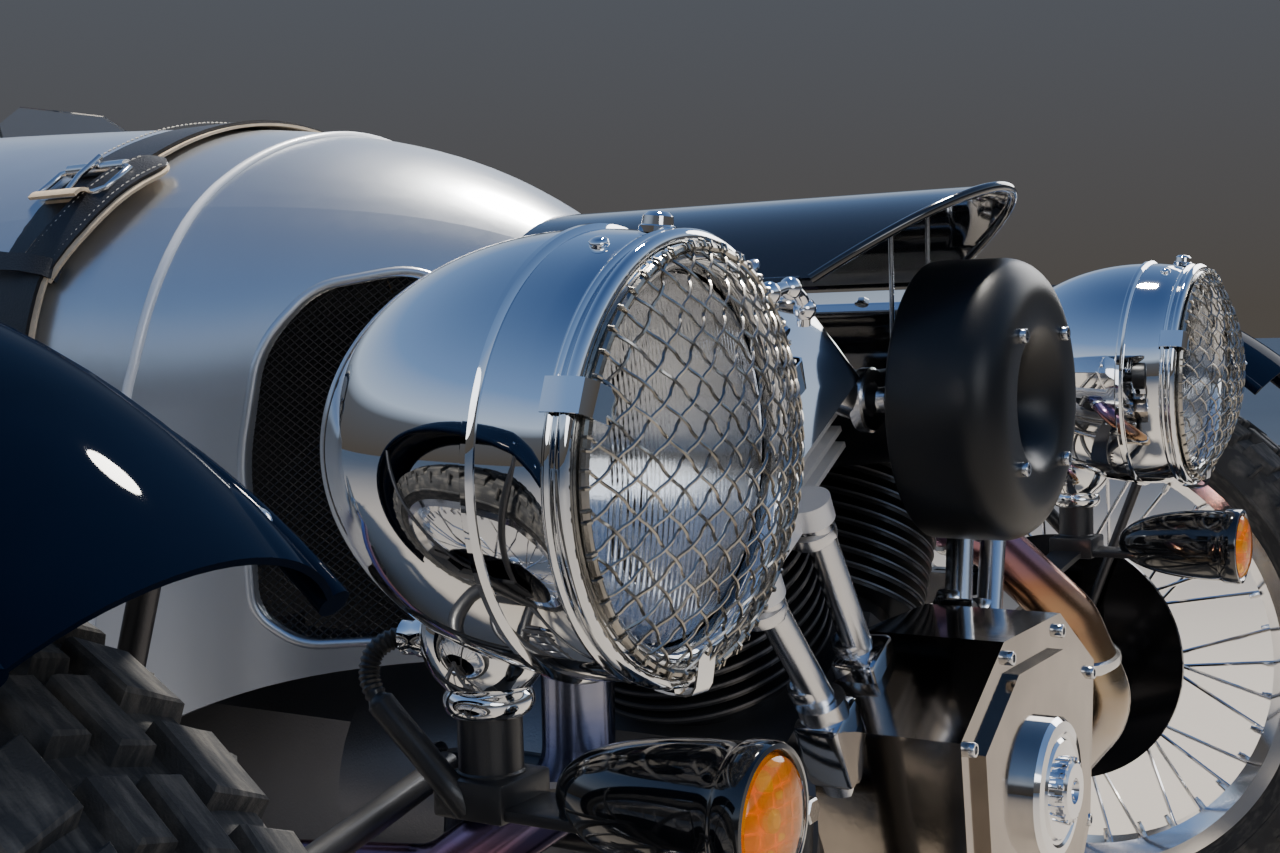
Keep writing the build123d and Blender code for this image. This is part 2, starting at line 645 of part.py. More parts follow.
eye_low = KINGPIN_LOW - SEAT_GAP
eye_high = KINGPIN_HIGH + SEAT_GAP
LEG_R = 10
ARM_Z = 247
CROSS_X = 560
CROSS_Z = 240
CROSS_R = 9
bones = []
for shape in pair(
        Pos(KINGPIN_X, 0, eye_high + 14) * Cylinder(20, 28)
        + rod((KINGPIN_X - 8, 0, eye_high + 14), (TOWER_X + 20, -FOREAFT, TOWER_Z - 6), LEG_R)
        + rod((KINGPIN_X - 8, 0, eye_high + 14), (TOWER_X + 20, FOREAFT, TOWER_Z - 6), LEG_R)):
    bones.append(shape)
for shape in pair(
        Pos(KINGPIN_X, 0, eye_low - 14) * Cylinder(20, 28)
        + rod((KINGPIN_X - 8, 0, ARM_Z), (FRAME_X + 22, -FOREAFT - 15, FRAME_Z + 6), LEG_R + 1)
        + rod((KINGPIN_X - 8, 0, ARM_Z), (FRAME_X + 22, FOREAFT + 15, FRAME_Z + 6), LEG_R + 1)
        + rod((CROSS_X, -38, CROSS_Z), (CROSS_X, 38, CROSS_Z), CROSS_R)):
    bones.append(shape)
bones = [max((bone - rails[0] - rails[1]).solids(), key=lambda s: s.volume) for bone in bones]
save("wishbones", *bones)


def damper(low, high, eye_dir, coil_r, wire_r, turns):
    # the eye at each end, the tube and rod between, and the spring as rings a turn apart
    along = Vector(*high) - Vector(*low)
    plane = Plane(origin=low, z_dir=along)
    long = along.length
    shape = Pos(0, 0, long * 0.33) * Cylinder(18, long * 0.5)
    shape += Pos(0, 0, long * 0.5) * Cylinder(8, long - 20)
    shape += Pos(0, 0, 26) * Cylinder(coil_r + 4, 6)
    shape += Pos(0, 0, long - 26) * Cylinder(coil_r + 4, 6)
    step = (long - 64) / turns
    core_r = coil_r - 2 * wire_r + 1
    outline = [(0, 29)]
    for ring in range(turns):
        height = 32 + step * (ring + 0.5)
        outline += [(core_r, height - wire_r), (coil_r - 2, height - wire_r + 1), (coil_r, height),
                    (coil_r - 2, height + wire_r - 1), (core_r, height + wire_r)]
    shape += turned(*outline, (0, long - 29))
    shape = plane * shape
    reach = Vector(*eye_dir) * DAMPER_EYE_HALF
    for end in (low, high):
        shape += rod(Vector(*end) - reach, Vector(*end) + reach, DAMPER_EYE_R)
    return shape


front_damper = damper((CROSS_X, 0, CROSS_Z + CROSS_R + DAMPER_EYE_R + SEAT_GAP),
                      (MID_BAR_X + TOWER_BAR_R + DAMPER_EYE_R + SEAT_GAP, -62, MID_BAR_Z), (0, 1, 0), 26, 5, 8)
rear_damper = damper((REAR_DAMPER_X, *REAR_DAMPER_LOW), (REAR_DAMPER_X, *REAR_DAMPER_HIGH), (1, 0, 0),
                     26, 5, 6)
save("dampers", *pair(front_damper), *pair(rear_damper))

# Engine: case, cam chest in front, finned cylinders, ribbed heads, covers and pushrod tubes


def bank(side):
    # local frame of a cylinder: Z up its axis from the crankshaft, X inboard, Y back
    lean = math.radians(V_HALF)
    up = (side * math.sin(lean), 0, math.cos(lean))
    inboard = (-side * math.cos(lean), 0, math.sin(lean))
    return Plane(origin=(0, 0, CRANK_Z), x_dir=inboard, z_dir=up)


def bank_slab(side, outline, y_front, y_back):
    # an outline in (inboard, up) of a bank, drawn from the front
    plane = bank(side)
    corners = [plane.from_local_coords((u, 0, a)) for u, a in outline]
    face = make_face(Polyline(*[(c.X, y_front, c.Z) for c in corners], close=True))
    return extrude(face, y_back - y_front, dir=(0, 1, 0))


case = Pos(0, (CASE_FRONT + CASE_BACK) / 2, CRANK_Z) * Rot(90, 0, 0) * Cylinder(
    CASE_R, CASE_BACK - CASE_FRONT)
for side in (-1, 1):
    case += bank_slab(side, [(-78, 0), (70, 0), (70, DECK), (-78, DECK)], -88, 88)
bell = Pos(0, 245, CRANK_Z) * Rot(90, 0, 0) * Cylinder(118, 170)
gearbox = from_front([(-95, 235), (95, 235), (95, 400), (60, 440), (-60, 440), (-95, 400)], 330, 780)
case += bell + gearbox
save("engine_case", case)

CHEST = [(-60, 503), (60, 503), (142, 453), (128, 330), (70, 262), (-70, 262), (-128, 330),
         (-142, 453)]
chest = from_front(CHEST, CHEST_FRONT, CASE_FRONT)
cap = Pos(0, CHEST_FRONT - 6, 390) * Rot(90, 0, 0) * Cylinder(48, 12)
cap += Pos(0, CHEST_FRONT - 14, 390) * Rot(90, 0, 0) * Cylinder(20, 6)
panel = from_front([(x * 0.8, 383 + (z - 383) * 0.8) for x, z in CHEST], CHEST_FRONT - 6, CHEST_FRONT)
save("cam_chest", chest + panel + cap)

cylinders, heads, covers = [], [], []
HEAD_BOTTOM = BARREL_TOP
HEAD_TOP = BARREL_TOP + HEAD_HIGH
MIDDLE_GAP = 2
for side in (-1, 1):
    plane = bank(side)
    barrel = Pos(0, 0, (DECK + BARREL_TOP) / 2) * Cylinder(BARREL_CORE_R, BARREL_TOP - DECK)
    for fin in range(int((BARREL_TOP - FIN_START) / FIN_PITCH) + 1):
        barrel += Pos(0, 0, FIN_START + fin * FIN_PITCH - FIN_THICK / 2) * Cylinder(
            BARREL_R, FIN_THICK)
    barrel = plane * barrel
    near, far = sorted((side * MIDDLE_GAP, side * 400))
    barrel = barrel & block((near, -200, 0), (far, 200, 900))
    cylinders.append(barrel - case)
    head = bank_slab(side, [(-66, HEAD_BOTTOM), (80, HEAD_BOTTOM), (80, HEAD_TOP), (-66, HEAD_TOP)],
                     -88, 88)
    for rib in range(HEAD_RIBS):
        low = HEAD_BOTTOM + (HEAD_HIGH - RIB_THICK) * rib / (HEAD_RIBS - 1)
        head += bank_slab(side, [(-76, low), (90, low), (90, low + RIB_THICK), (-76, low + RIB_THICK)],
                          -HEAD_FRONT, HEAD_FRONT)
    for u in (0, -84):
        boss = plane * Pos(u, 0, HEAD_BOTTOM) * Cylinder(16, 16, align=(Align.CENTER, Align.CENTER, Align.MIN))
        head += Pos(0, CASE_FRONT, 0) * boss
    head += bank_slab(side, [(-98, HEAD_BOTTOM), (16, HEAD_BOTTOM), (16, HEAD_BOTTOM + 16),
                             (-98, HEAD_BOTTOM + 16)], CASE_FRONT, -80)
    near, far = sorted((side * MIDDLE_GAP, side * 400))
    head = head & block((near, -200, 0), (far, 200, 900))
    heads.append(head - barrel)
    cover = bank_slab(side, [(-68, HEAD_TOP), (-68, 415), (-20, 457), (7, 457), (68, 412),
                             (76, HEAD_TOP)], -HEAD_FRONT + 2, HEAD_FRONT - 2)
    covers.append(fillet(cover.edges(), COVER_ROUND))
save("cylinders", *cylinders)
save("cylinder_heads", *heads)
save("rocker_covers", *covers)

TUBES = (
    # foot inboard offset, foot height up the bank, top inboard offset
    (-8, 178, 0),
    (-74, 196, -84),
)
pushrods = []
for side in (-1, 1):
    plane = bank(side)
    for foot_u, foot_a, top_u in TUBES:
        foot = plane.from_local_coords((foot_u, 0, foot_a))
        top = plane.from_local_coords((top_u, 0, HEAD_BOTTOM - SEAT_GAP))
        lift = plane.from_local_coords((foot_u, 0, foot_a - 70))
        shape = rod((foot.X, CASE_FRONT - 14, foot.Z), (top.X, CASE_FRONT - 2, top.Z), 10.5)
        shape += rod((lift.X, CASE_FRONT - 16, lift.Z), (foot.X, CASE_FRONT - 14, foot.Z), 17)
        pushrods.append(shape - chest - case - heads[0] - heads[1] - cylinders[0] - cylinders[1])
save("pushrod_tubes", *pushrods)

# Air drum between the cylinders, and the half-round scoop above it

DRUM_LONG = DRUM_BACK - DRUM_FRONT
DRUM_ROUND = 26
TRUMPET_R = 52
TRUMPET_DEEP = 40
THROAT_R = 24
round_mid = DRUM_ROUND * (1 - math.sqrt(0.5))
drum_edges = [
    Polyline((0, 0, 0), (DRUM_R, 0, 0), (DRUM_R, 0, DRUM_LONG - DRUM_ROUND)),
    ThreePointArc((DRUM_R, 0, DRUM_LONG - DRUM_ROUND), (DRUM_R - round_mid, 0, DRUM_LONG - round_mid),
                  (DRUM_R - DRUM_ROUND, 0, DRUM_LONG)),
    Line((DRUM_R - DRUM_ROUND, 0, DRUM_LONG), (TRUMPET_R, 0, DRUM_LONG)),
    ThreePointArc((TRUMPET_R, 0, DRUM_LONG), (THROAT_R + 8, 0, DRUM_LONG - 12),
                  (THROAT_R, 0, DRUM_LONG - TRUMPET_DEEP)),
    Polyline((THROAT_R, 0, DRUM_LONG - TRUMPET_DEEP), (0, 0, DRUM_LONG - TRUMPET_DEEP), (0, 0, 0)),
]
trumpet = revolve(make_face(drum_edges), Axis.Z)
drum_plane = Plane(origin=(0, DRUM_BACK, DRUM_Z), x_dir=(1, 0, 0), z_dir=(0, -1, 0))
drum = drum_plane * trumpet
intake = rod((0, DRUM_BACK, DRUM_Z - 10), (0, 60, DRUM_Z - 30), 34)
drum += intake
port_z = CRANK_Z + (BARREL_TOP + HEAD_HIGH / 2) * math.cos(math.radians(V_HALF)) + 42
for side in (-1, 1):
    drum += rod((0, 40, DRUM_Z - 26), (side * 84, 40, port_z), 22)
for cover in covers:
    drum -= cover
for head in heads:
    drum -= head
for barrel in cylinders:
    drum -= barrel
drum = max(drum.solids(), key=lambda s: s.volume)
save("air_drum", drum)

scoop_centre = SCOOP_TOP - SCOOP_R
side_z = scoop_centre + math.sqrt(SCOOP_R ** 2 - SCOOP_HALF ** 2)


def scoop_arc(r, y):
    half = SCOOP_HALF * r / SCOOP_R
    z = scoop_centre + (side_z - scoop_centre) * r / SCOOP_R
    return ThreePointArc((-half, y, z), (0, y, scoop_centre + r), (half, y, z))


outer_arc = scoop_arc(SCOOP_R, SCOOP_FRONT)
inner_arc = scoop_arc(SCOOP_R - SCOOP_SKIN, SCOOP_FRONT)
scoop_face = make_face([outer_arc, Line(outer_arc @ 1, inner_arc @ 1), inner_arc,
                        Line(inner_arc @ 0, outer_arc @ 0)])
scoop = extrude(scoop_face, NOSE_Y - SEAT_GAP - SCOOP_FRONT, dir=(0, 1, 0))
scoop -= from_side([(SCOOP_FRONT - 1, SCOOP_TOP + 0.5), (SCOOP_FRONT - 1, side_z - 20),
                    (SCOOP_FRONT + SCOOP_RAKE * (SCOOP_TOP - side_z + 20), side_z - 20),
                    (SCOOP_FRONT, SCOOP_TOP + 0.5)], -200, 200)
save("scoop", scoop)

# Exhausts: header down each side of the engine, then a long pipe with its silencer

PIPE_X = 548
PIPE_Z = 332
PIPE_START = 900
PIPE_END = 2240
header_right = pipe([(-196, 0, 560), (-250, 0, 525), (-252, 0, 430), (-262, 110, 352),
                     (-300, 330, 338), (-420, 540, 338), (-PIPE_X, 760, PIPE_Z),
                     (-PIPE_X, PIPE_START - SEAT_GAP, PIPE_Z)], 23.5, [24, 50, 60, 110, 140, 90], 20)
header_left = pipe([(196, -50, 560), (250, -95, 525), (303, -148, 455), (320, -176, 375),
                    (290, -110, 292), (285, 100, 295), (300, 330, 330), (420, 540, 338),
                    (PIPE_X, 760, PIPE_Z), (PIPE_X, PIPE_START - SEAT_GAP, PIPE_Z)], 23.5,
                   [24, 40, 40, 40, 100, 110, 110, 90], 20)
for head in heads + covers + cylinders:
    header_right -= head
    header_left -= head
headers = [max(shape.solids(), key=lambda s: s.volume) for shape in (header_right, header_left)]
save("exhaust_headers", *headers)
side_pipe = turned((20, 0), (27, 0), (27, 200), (46, 215), (46, 1040), (27, 1055),
                   (27, PIPE_END - PIPE_START), (20, PIPE_END - PIPE_START))
side_pipe = Plane(origin=(PIPE_X, PIPE_START, PIPE_Z), z_dir=(0, 1, 0)) * side_pipe
save("side_pipes", *pair(side_pipe))

# Headlamps on their stalks, with the indicators below

tilt = math.radians(LAMP_TILT)
lamp_dir = Vector(0, -math.cos(tilt), -math.sin(tilt))
lamp_plane = Plane(origin=(LAMP_X, LAMP_Y, LAMP_Z), x_dir=(1, 0, 0), z_dir=lamp_dir)
NOSE_IN = 14
# the bowl is a cone from its bead back to a round end that it meets smoothly
end_tilt = math.radians(BOWL_TAPER)
end_z = END_R - BOWL_LONG
meet = (END_R * math.cos(end_tilt), 0, end_z - END_R * math.sin(end_tilt))
wide = meet[0] + (-BEAD_BACK - meet[2]) * math.tan(end_tilt)
half_tilt = (math.radians(90) + end_tilt) / 2
bowl_edges = [
    Line((0, 0, -NOSE_IN), (wide - 6, 0, -NOSE_IN)),
    Line((wide - 6, 0, -NOSE_IN), (wide, 0, -BEAD_BACK)),
    Line((wide, 0, -BEAD_BACK), meet),
    ThreePointArc(meet, (END_R * math.cos(half_tilt), 0, end_z - END_R * math.sin(half_tilt)),
                  (0, 0, -BOWL_LONG)),
    Line((0, 0, -BOWL_LONG), (0, 0, -NOSE_IN)),
]
bowl = revolve(make_face(bowl_edges), Axis.Z)
bead = Pos(0, 0, -BEAD_BACK) * Torus(BOWL_R, 3)
lens_cut = Pos(0, 0, -NOSE_IN) * Cylinder(LENS_R + 2, 60, align=(Align.CENTER, Align.CENTER, Align.MAX))
bowl_left = lamp_plane * (bowl + bead - lens_cut)
rim = turned((LENS_R - 2, -NOSE_IN + SEAT_GAP), (BOWL_R - 5, -NOSE_IN + SEAT_GAP), (BOWL_R - 2, -10),
             (RING_R + 1, -3), (RING_R - 4, 0), (LENS_R + 3, -2), (LENS_R - 2, -8))
glass = turned((0, -16), (LENS_R - 2.5, -16), (LENS_R - 2.5, -10), (60, -5), (30, -1.5), (0, -1))
GUARD_WIRE = 1.3
guard_rows = 9
guard_ring = Torus(RING_R - 6, 2.2)
wires = []
DOME = 30
WIRE_END = RING_R - 6 - 2.2 - SEAT_GAP
for row in range(-guard_rows, guard_rows + 1):
    offset = row * WIRE_END / (guard_rows + 0.5)
    half = math.sqrt(WIRE_END ** 2 - offset ** 2)
    top = DOME * (1 - (offset / WIRE_END) ** 2)
    for turn, layer in ((45, 0), (-45, 2 * GUARD_WIRE + SEAT_GAP)):
        wire_path = ThreePointArc((-half, offset, layer), (0, offset, top + layer), (half, offset, layer))
        section = Plane(origin=wire_path @ 0, z_dir=wire_path % 0) * RegularPolygon(GUARD_WIRE, 4)
        wires.append(Rot(0, 0, turn) * sweep(section, path=wire_path))
guard = Compound(children=[guard_ring, *wires])
rim_left_lamp = lamp_plane * rim
save("lamp_bowls", *pair(bowl_left))
save("lamp_rims", *pair(rim_left_lamp))
save("lamp_glasses", *pair(lamp_plane * glass))
save("lamp_guards", *pair(lamp_plane * Pos(0, 0, 2.6) * guard))

stalk = Pos(LAMP_X, STALK_Y, 552) * Sphere(34) - bowl_left
stalk = max(stalk.solids(), key=lambda s: s.bounding_box().max.Z * -1)
stalk += rod((LAMP_X, STALK_Y, 536), (LAMP_X, STALK_Y, 550), 22.5)
stalk += rod((LAMP_X, STALK_Y, 480), (LAMP_X, STALK_Y, 540), 18)
stalk += block((LAMP_X - 24, STALK_Y - 24, 484), (LAMP_X + 24, STALK_Y + 24, 508))
stalk += rod((LAMP_X, STALK_Y, 490), (TOWER_X + 6, -60, TOWER_Z - 2), 10)
stalk += block((LAMP_X - 20, -200, 486), (LAMP_X + 20, STALK_Y, 492))
stalk -= bowl_left
for tube in frame[BACK_CROSS + 1:]:
    stalk -= tube
save("lamp_brackets", *pair(stalk))

pod_axis = Plane(origin=(LAMP_X, POD_Y, PODS_Z), x_dir=(1, 0, 0), z_dir=(0, -1, 0))
pod_edges = [
    ThreePointArc((0, 0, -POD_LONG), (23, 0, 38 - POD_LONG), (POD_R - 1, 0, -26)),
    Polyline((POD_R - 1, 0, -26), (POD_R, 0, -14), (POD_R, 0, -2), (POD_R - 4, 0, -2),
             (POD_R - 5, 0, -12), (0, 0, -12), (0, 0, -POD_LONG)),
]
pod = revolve(make_face(pod_edges), Axis.Z)
lens = turned((0, -11.5), (POD_R - 5.5, -11.5), (POD_R - 5.5, -1), (18, 3), (0, 5))
pod_left = pod_axis * pod - stalk
save("indicators", *pair(pod_left))
save("indicator_lenses", *pair(pod_axis * lens))

# Cockpit: tunnel, levers and pedals, seats and screens

tunnel_top = 330
tunnel = from_front([(-90, FLOOR_TOP), (90, FLOOR_TOP), (80, 300), (50, tunnel_top), (-50, tunnel_top),
                     (-80, 300)], 800, 1750)
save("tunnel", tunnel - Compound(children=list(frame)))
lever = rod((0, 1080, tunnel_top), (0, 1100, 520), 8) + Pos(0, 1101, 530) * Sphere(22)
handbrake = rod((40, 1330, tunnel_top), (40, 1160, 420), 11)
pedals = []
for x in (-135, -195, -255):
    pedal = block((x - 22, 690, 330), (x + 22, 700, 400))
    pedal += rod((x, 700, 380), (x, 640, 560), 7) + rod((x, 574 + SEAT_GAP, 556), (x, 642, 556), 9)
    pedals.append(pedal)
save("controls", lever - tunnel, handbrake - tunnel, *pedals)

CUSHION_TOP = 330
SEAT_INNER = 96
SEAT_OUTER = 452
SEAT_BASE = FRAME_Z + FRAME_R + SEAT_GAP
cushion = fillet(block((SEAT_INNER, 1230, SEAT_BASE), (SEAT_OUTER, 1610, CUSHION_TOP)).edges(), 30)
seat_back = from_side([(1620, SEAT_BASE), (1735, SEAT_BASE), (1749, 760), (1700, 780), (1660, 740),
                       (1610, 345)], SEAT_INNER, SEAT_OUTER)
seat_back = fillet(seat_back.edges(), 18)
save("seat_cushions", *pair(cushion))
save("seat_backs", *pair(seat_back))

SCREEN_Y = 985
glass_face = from_front([(-118, -48), (118, -48), (100, 70), (60, 98), (-60, 98), (-100, 70)], -2, 2)
deck_form = barrel_form(TUB_SECTIONS, inset=-SEAT_GAP)
screens = []
for side in (-1, 1):
    screen = Pos(side * 215, SCREEN_Y, 905) * Rot(-28, 0, 0) * glass_face - deck_form
    screens.append(max(screen.solids(), key=lambda s: s.bounding_box().max.Z))
save("aero_screens", *screens)

# Tail: lamps, rear indicators and the blank number plate on its bracket

PLATE_Y = TAIL_END - 125
TAIL_LAMP_SHARE = 50 / 99
TAIL_LAMP_X = 190
TAIL_LAMP_Z = 560
TAIL_LAMP_R = 34
TAIL_LAMP_LONG = 90
PLATE_HOLE_R = 3.2
PLATE_HOLES_X = 160
plate = block((-115, PLATE_Y, 330), (115, PLATE_Y + 3, 508))
for x in (-PLATE_HOLES_X / 2, PLATE_HOLES_X / 2):
    plate -= Pos(x, PLATE_Y + 1.5, 490) * Rot(90, 0, 0) * Cylinder(PLATE_HOLE_R, 10)
bracket = block((-30, PLATE_Y - 4, 350), (30, PLATE_Y - SEAT_GAP, 500))
bracket += block((-30, PLATE_Y - 60, 430), (30, PLATE_Y - 4, 436))
bracket += block((-30, PLATE_Y - 60, 430), (30, PLATE_Y - 54, 640))
bracket = (bracket & barrel_form(TUB_SECTIONS, inset=TUB_WALL + SEAT_GAP, drop=300))
save("number_plate", plate, bracket)
# each lamp stands half out of the taper, between the section over the wheel and the tail's end
wide_row = TUB_SECTIONS[-2]
lamp_y = wide_row[0] + (TAIL_END - wide_row[0]) * TAIL_LAMP_SHARE
tail_lamp = Pos(TAIL_LAMP_X, lamp_y, TAIL_LAMP_Z) * Rot(90, 0, 0) * Cylinder(TAIL_LAMP_R, TAIL_LAMP_LONG) - tub_outer
tail_lamp = max(tail_lamp.solids(), key=lambda piece: piece.bounding_box().max.Y)
save("tail_lamps", *pair(tail_lamp))

os.makedirs("parts", exist_ok=True)
for name, shape in saved.items():
    export_step(shape, f"parts/{name}.step")
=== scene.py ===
import math
import random

import bmesh
import bpy
from mathutils import Matrix, Vector
from mathutils.bvhtree import BVHTree


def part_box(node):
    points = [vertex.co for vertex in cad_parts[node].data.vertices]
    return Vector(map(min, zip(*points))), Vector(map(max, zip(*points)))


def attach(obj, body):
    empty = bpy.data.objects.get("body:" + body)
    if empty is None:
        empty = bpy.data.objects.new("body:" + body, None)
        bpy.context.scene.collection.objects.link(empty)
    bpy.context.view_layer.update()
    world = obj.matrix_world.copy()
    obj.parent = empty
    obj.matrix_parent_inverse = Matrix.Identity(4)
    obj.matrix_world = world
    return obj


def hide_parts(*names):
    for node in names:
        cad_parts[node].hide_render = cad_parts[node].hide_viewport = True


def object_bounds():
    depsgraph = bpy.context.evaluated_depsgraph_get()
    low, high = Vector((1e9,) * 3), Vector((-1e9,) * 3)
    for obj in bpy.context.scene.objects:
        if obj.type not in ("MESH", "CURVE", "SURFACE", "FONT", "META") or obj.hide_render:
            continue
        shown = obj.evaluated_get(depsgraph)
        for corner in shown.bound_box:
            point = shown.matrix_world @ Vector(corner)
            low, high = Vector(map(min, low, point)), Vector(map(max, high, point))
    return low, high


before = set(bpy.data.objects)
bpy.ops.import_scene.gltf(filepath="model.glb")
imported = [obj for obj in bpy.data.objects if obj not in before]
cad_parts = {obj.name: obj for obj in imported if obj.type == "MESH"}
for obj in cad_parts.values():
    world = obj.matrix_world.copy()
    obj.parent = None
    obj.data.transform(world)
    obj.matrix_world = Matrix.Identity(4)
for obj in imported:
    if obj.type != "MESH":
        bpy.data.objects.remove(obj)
cad_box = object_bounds()

# The tubular chassis that everything bolts to, welded steel in satin black powder coat. The
# car's stations are measured in millimetres back from the front axle, +X is its left side.
AXLE_Y = (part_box("tyre_front_left")[0][1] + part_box("tyre_front_left")[1][1]) / 2


def at(x, y, z):
    return Vector((x / 1000, y / 1000 + AXLE_Y, z / 1000))


def node(nodes, kind, values=(), **choices):
    """A shader node of a kind, with its own choices and the values of its inputs."""
    made = nodes.new("ShaderNode" + kind)
    for name, choice in choices.items():
        setattr(made, name, choice)
    for name, value in values:
        made.inputs[name].default_value = value
    return made


def colour_ramp(nodes, stops):
    """A ramp through the given places and colours."""
    made = node(nodes, "ValToRGB")
    ramp = made.color_ramp
    while len(ramp.elements) < len(stops):
        ramp.elements.new(0.5)
    for stop, (place, tone) in zip(ramp.elements, stops):
        stop.position = place
        stop.color = (*tone, 1)
    return made


def finish(name, colour, rough, metal=0.0, coat=0.0, vary=0.12, mottle=9.0, rough_vary=0.06, grain=420.0,
           bump=0.04, stretch=(1, 1, 1), sheen=0.0):
    """A worked surface: uneven colour, uneven polish and a fine grain, each from its own noise."""
    made = bpy.data.materials.new(name)
    made.use_nodes = True
    nodes, links = made.node_tree.nodes, made.node_tree.links
    shader = nodes["Principled BSDF"]
    for label, value in (("Metallic", metal), ("Coat Weight", coat), ("Coat Roughness", 0.03),
                         ("Sheen Weight", sheen)):
        shader.inputs[label].default_value = value
    where = node(nodes, "TexCoord")
    sized = node(nodes, "Mapping", [("Scale", stretch)])
    links.new(where.outputs["Object"], sized.inputs["Vector"])
    broad = node(nodes, "TexNoise", [("Scale", mottle), ("Detail", 5)])
    fine = node(nodes, "TexNoise", [("Scale", grain), ("Detail", 3)])
    for noise in (broad, fine):
        links.new(sized.outputs["Vector"], noise.inputs["Vector"])
    tones = colour_ramp(nodes, ((0.3, [c * (1 - vary) for c in colour]),
                                (0.7, [min(1, c * (1 + vary)) for c in colour])))
    links.new(broad.outputs["Fac"], tones.inputs["Fac"])
    links.new(tones.outputs["Color"], shader.inputs["Base Color"])
    polish = node(nodes, "MapRange", [("To Min", max(0.0, rough - rough_vary)),
                                      ("To Max", rough + rough_vary)])
    links.new(fine.outputs["Fac"], polish.inputs["Value"])
    links.new(polish.outputs["Result"], shader.inputs["Roughness"])
    relief = node(nodes, "Bump", [("Strength", bump), ("Distance", 0.001)])
    links.new(fine.outputs["Fac"], relief.inputs["Height"])
    links.new(relief.outputs["Normal"], shader.inputs["Normal"])
    return made


def dress(made, *names):
    for name in names:
        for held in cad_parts[name].material_slots:
            held.material = made


powder_black = finish("powder_black", (0.018, 0.018, 0.02), 0.38, coat=0.2, grain=1500, bump=0.12)
dress(powder_black, "frame_tubes", "swingarm", "wishbones", "steering_rack", "bulkheads")

# Suspension and steering links. Springs and dampers are black enamel, the forged knuckles and the
# tie rods are dark satin steel, and their bolts are plated bright.
forged_steel = finish("forged_steel", (0.07, 0.07, 0.075), 0.36, metal=0.85, grain=700, bump=0.15)
spring_enamel = finish("spring_enamel", (0.03, 0.03, 0.033), 0.3, coat=0.6)
dress(forged_steel, "knuckle_left", "knuckle_right", "tie_rods")
dress(spring_enamel, "dampers")


def merged(*forms):
    verts, faces = [], []
    for form_verts, form_faces in forms:
        base = len(verts)
        verts += form_verts
        faces += [tuple(base + i for i in face) for face in form_faces]
    return verts, faces


def placed(form, place):
    return [place @ Vector(v) for v in form[0]], form[1]


def piece(name, form, made, body="root", stands_for=(), sharp=35.0):
    """A named piece from vertices and faces in metres, smooth but for its real corners."""
    mesh = bpy.data.meshes.new(name)
    mesh.from_pydata([tuple(v) for v in form[0]], [], form[1])
    mesh.validate()
    built = bmesh.new()
    built.from_mesh(mesh)
    bmesh.ops.recalc_face_normals(built, faces=built.faces)
    built.to_mesh(mesh)
    built.free()
    mesh.polygons.foreach_set("use_smooth", [True] * len(mesh.polygons))
    mesh.set_sharp_from_angle(angle=math.radians(sharp))
    mesh.materials.append(made)
    built_piece = bpy.data.objects.new(name, mesh)
    bpy.context.collection.objects.link(built_piece)
    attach(built_piece, body)
    if stands_for:
        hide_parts(*stands_for)


def facing(origin, direction, up=(0, 0, 1)):
    """A placing whose +Z points along the direction, with sizes in millimetres."""
    z = Vector(direction).normalized()
    x = Vector(up).cross(z)
    x = Vector((1, 0, 0)) if x.length < 1e-6 else x.normalized()
    y = z.cross(x)
    turn = Matrix((x, y, z)).transposed().to_4x4()
    return Matrix.Translation(origin) @ turn @ Matrix.Scale(0.001, 4)


def lathe(profile, steps=48):
    """A turned form about +Z from (radius, height) pairs, with a point where the radius is 0."""
    verts, faces, rows = [], [], []
    for r, z in profile:
        if r < 1e-6:
            rows.append([len(verts)] * steps)
            verts.append(Vector((0, 0, z)))
            continue
        rows.append(list(range(len(verts), len(verts) + steps)))
        for i in range(steps):
            turn = 2 * math.pi * i / steps
            verts.append(Vector((r * math.cos(turn), r * math.sin(turn), z)))
    for low, high in zip(rows, rows[1:]):
        for i in range(steps):
            j = (i + 1) % steps
            corners = []
            for v in (low[i], low[j], high[j], high[i]):
                if v not in corners:
                    corners.append(v)
            if len(corners) > 2:
                faces.append(tuple(corners))
    return verts, faces


def walls(low, high, count):
    """Four-sided faces between two closed rings, from the index each ring starts at."""
    return [(low + k, low + (k + 1) % count, high + (k + 1) % count, high + k) for k in range(count)]


def tube(points, r, sides=8, closed=False):
    """A round bar along a run of points, its radius one number or one for each point."""
    points = [Vector(p) for p in points]
    sizes = r if isinstance(r, list) else [r] * len(points)
    verts, faces = [], []
    side = None
    count = len(points)
    for i, point in enumerate(points):
        before = points[i - 1] if (i or closed) else point
        after = points[(i + 1) % count] if (i < count - 1 or closed) else point
        along = (after - before).normalized()
        if side is None:
            side = along.orthogonal().normalized()
        side = (side - along * side.dot(along)).normalized()
        other = along.cross(side)
        for k in range(sides):
            turn = 2 * math.pi * k / sides
            verts.append(point + (side * math.cos(turn) + other * math.sin(turn)) * sizes[i])
    rings = count if closed else count - 1
    for i in range(rings):
        faces += walls(i * sides, (i + 1) % count * sides, sides)
    if not closed:
        faces += [tuple(range(sides - 1, -1, -1)), tuple((count - 1) * sides + k for k in range(sides))]
    return verts, faces


def smooth_run(points, per_span=8):
    """Points along a Catmull-Rom curve through the given ones."""
    points = [Vector(p) for p in points]
    ends = [2 * points[0] - points[1], *points, 2 * points[-1] - points[-2]]
    run = []
    for a, b, c, d in zip(ends, ends[1:], ends[2:], ends[3:]):
        for step in range(per_span):
            t = step / per_span
            run.append(0.5 * (2 * b + (c - a) * t + (2 * a - 5 * b + 4 * c - d) * t * t
                              + (3 * b - a - 3 * c + d) * t ** 3))
    return run + [points[-1]]


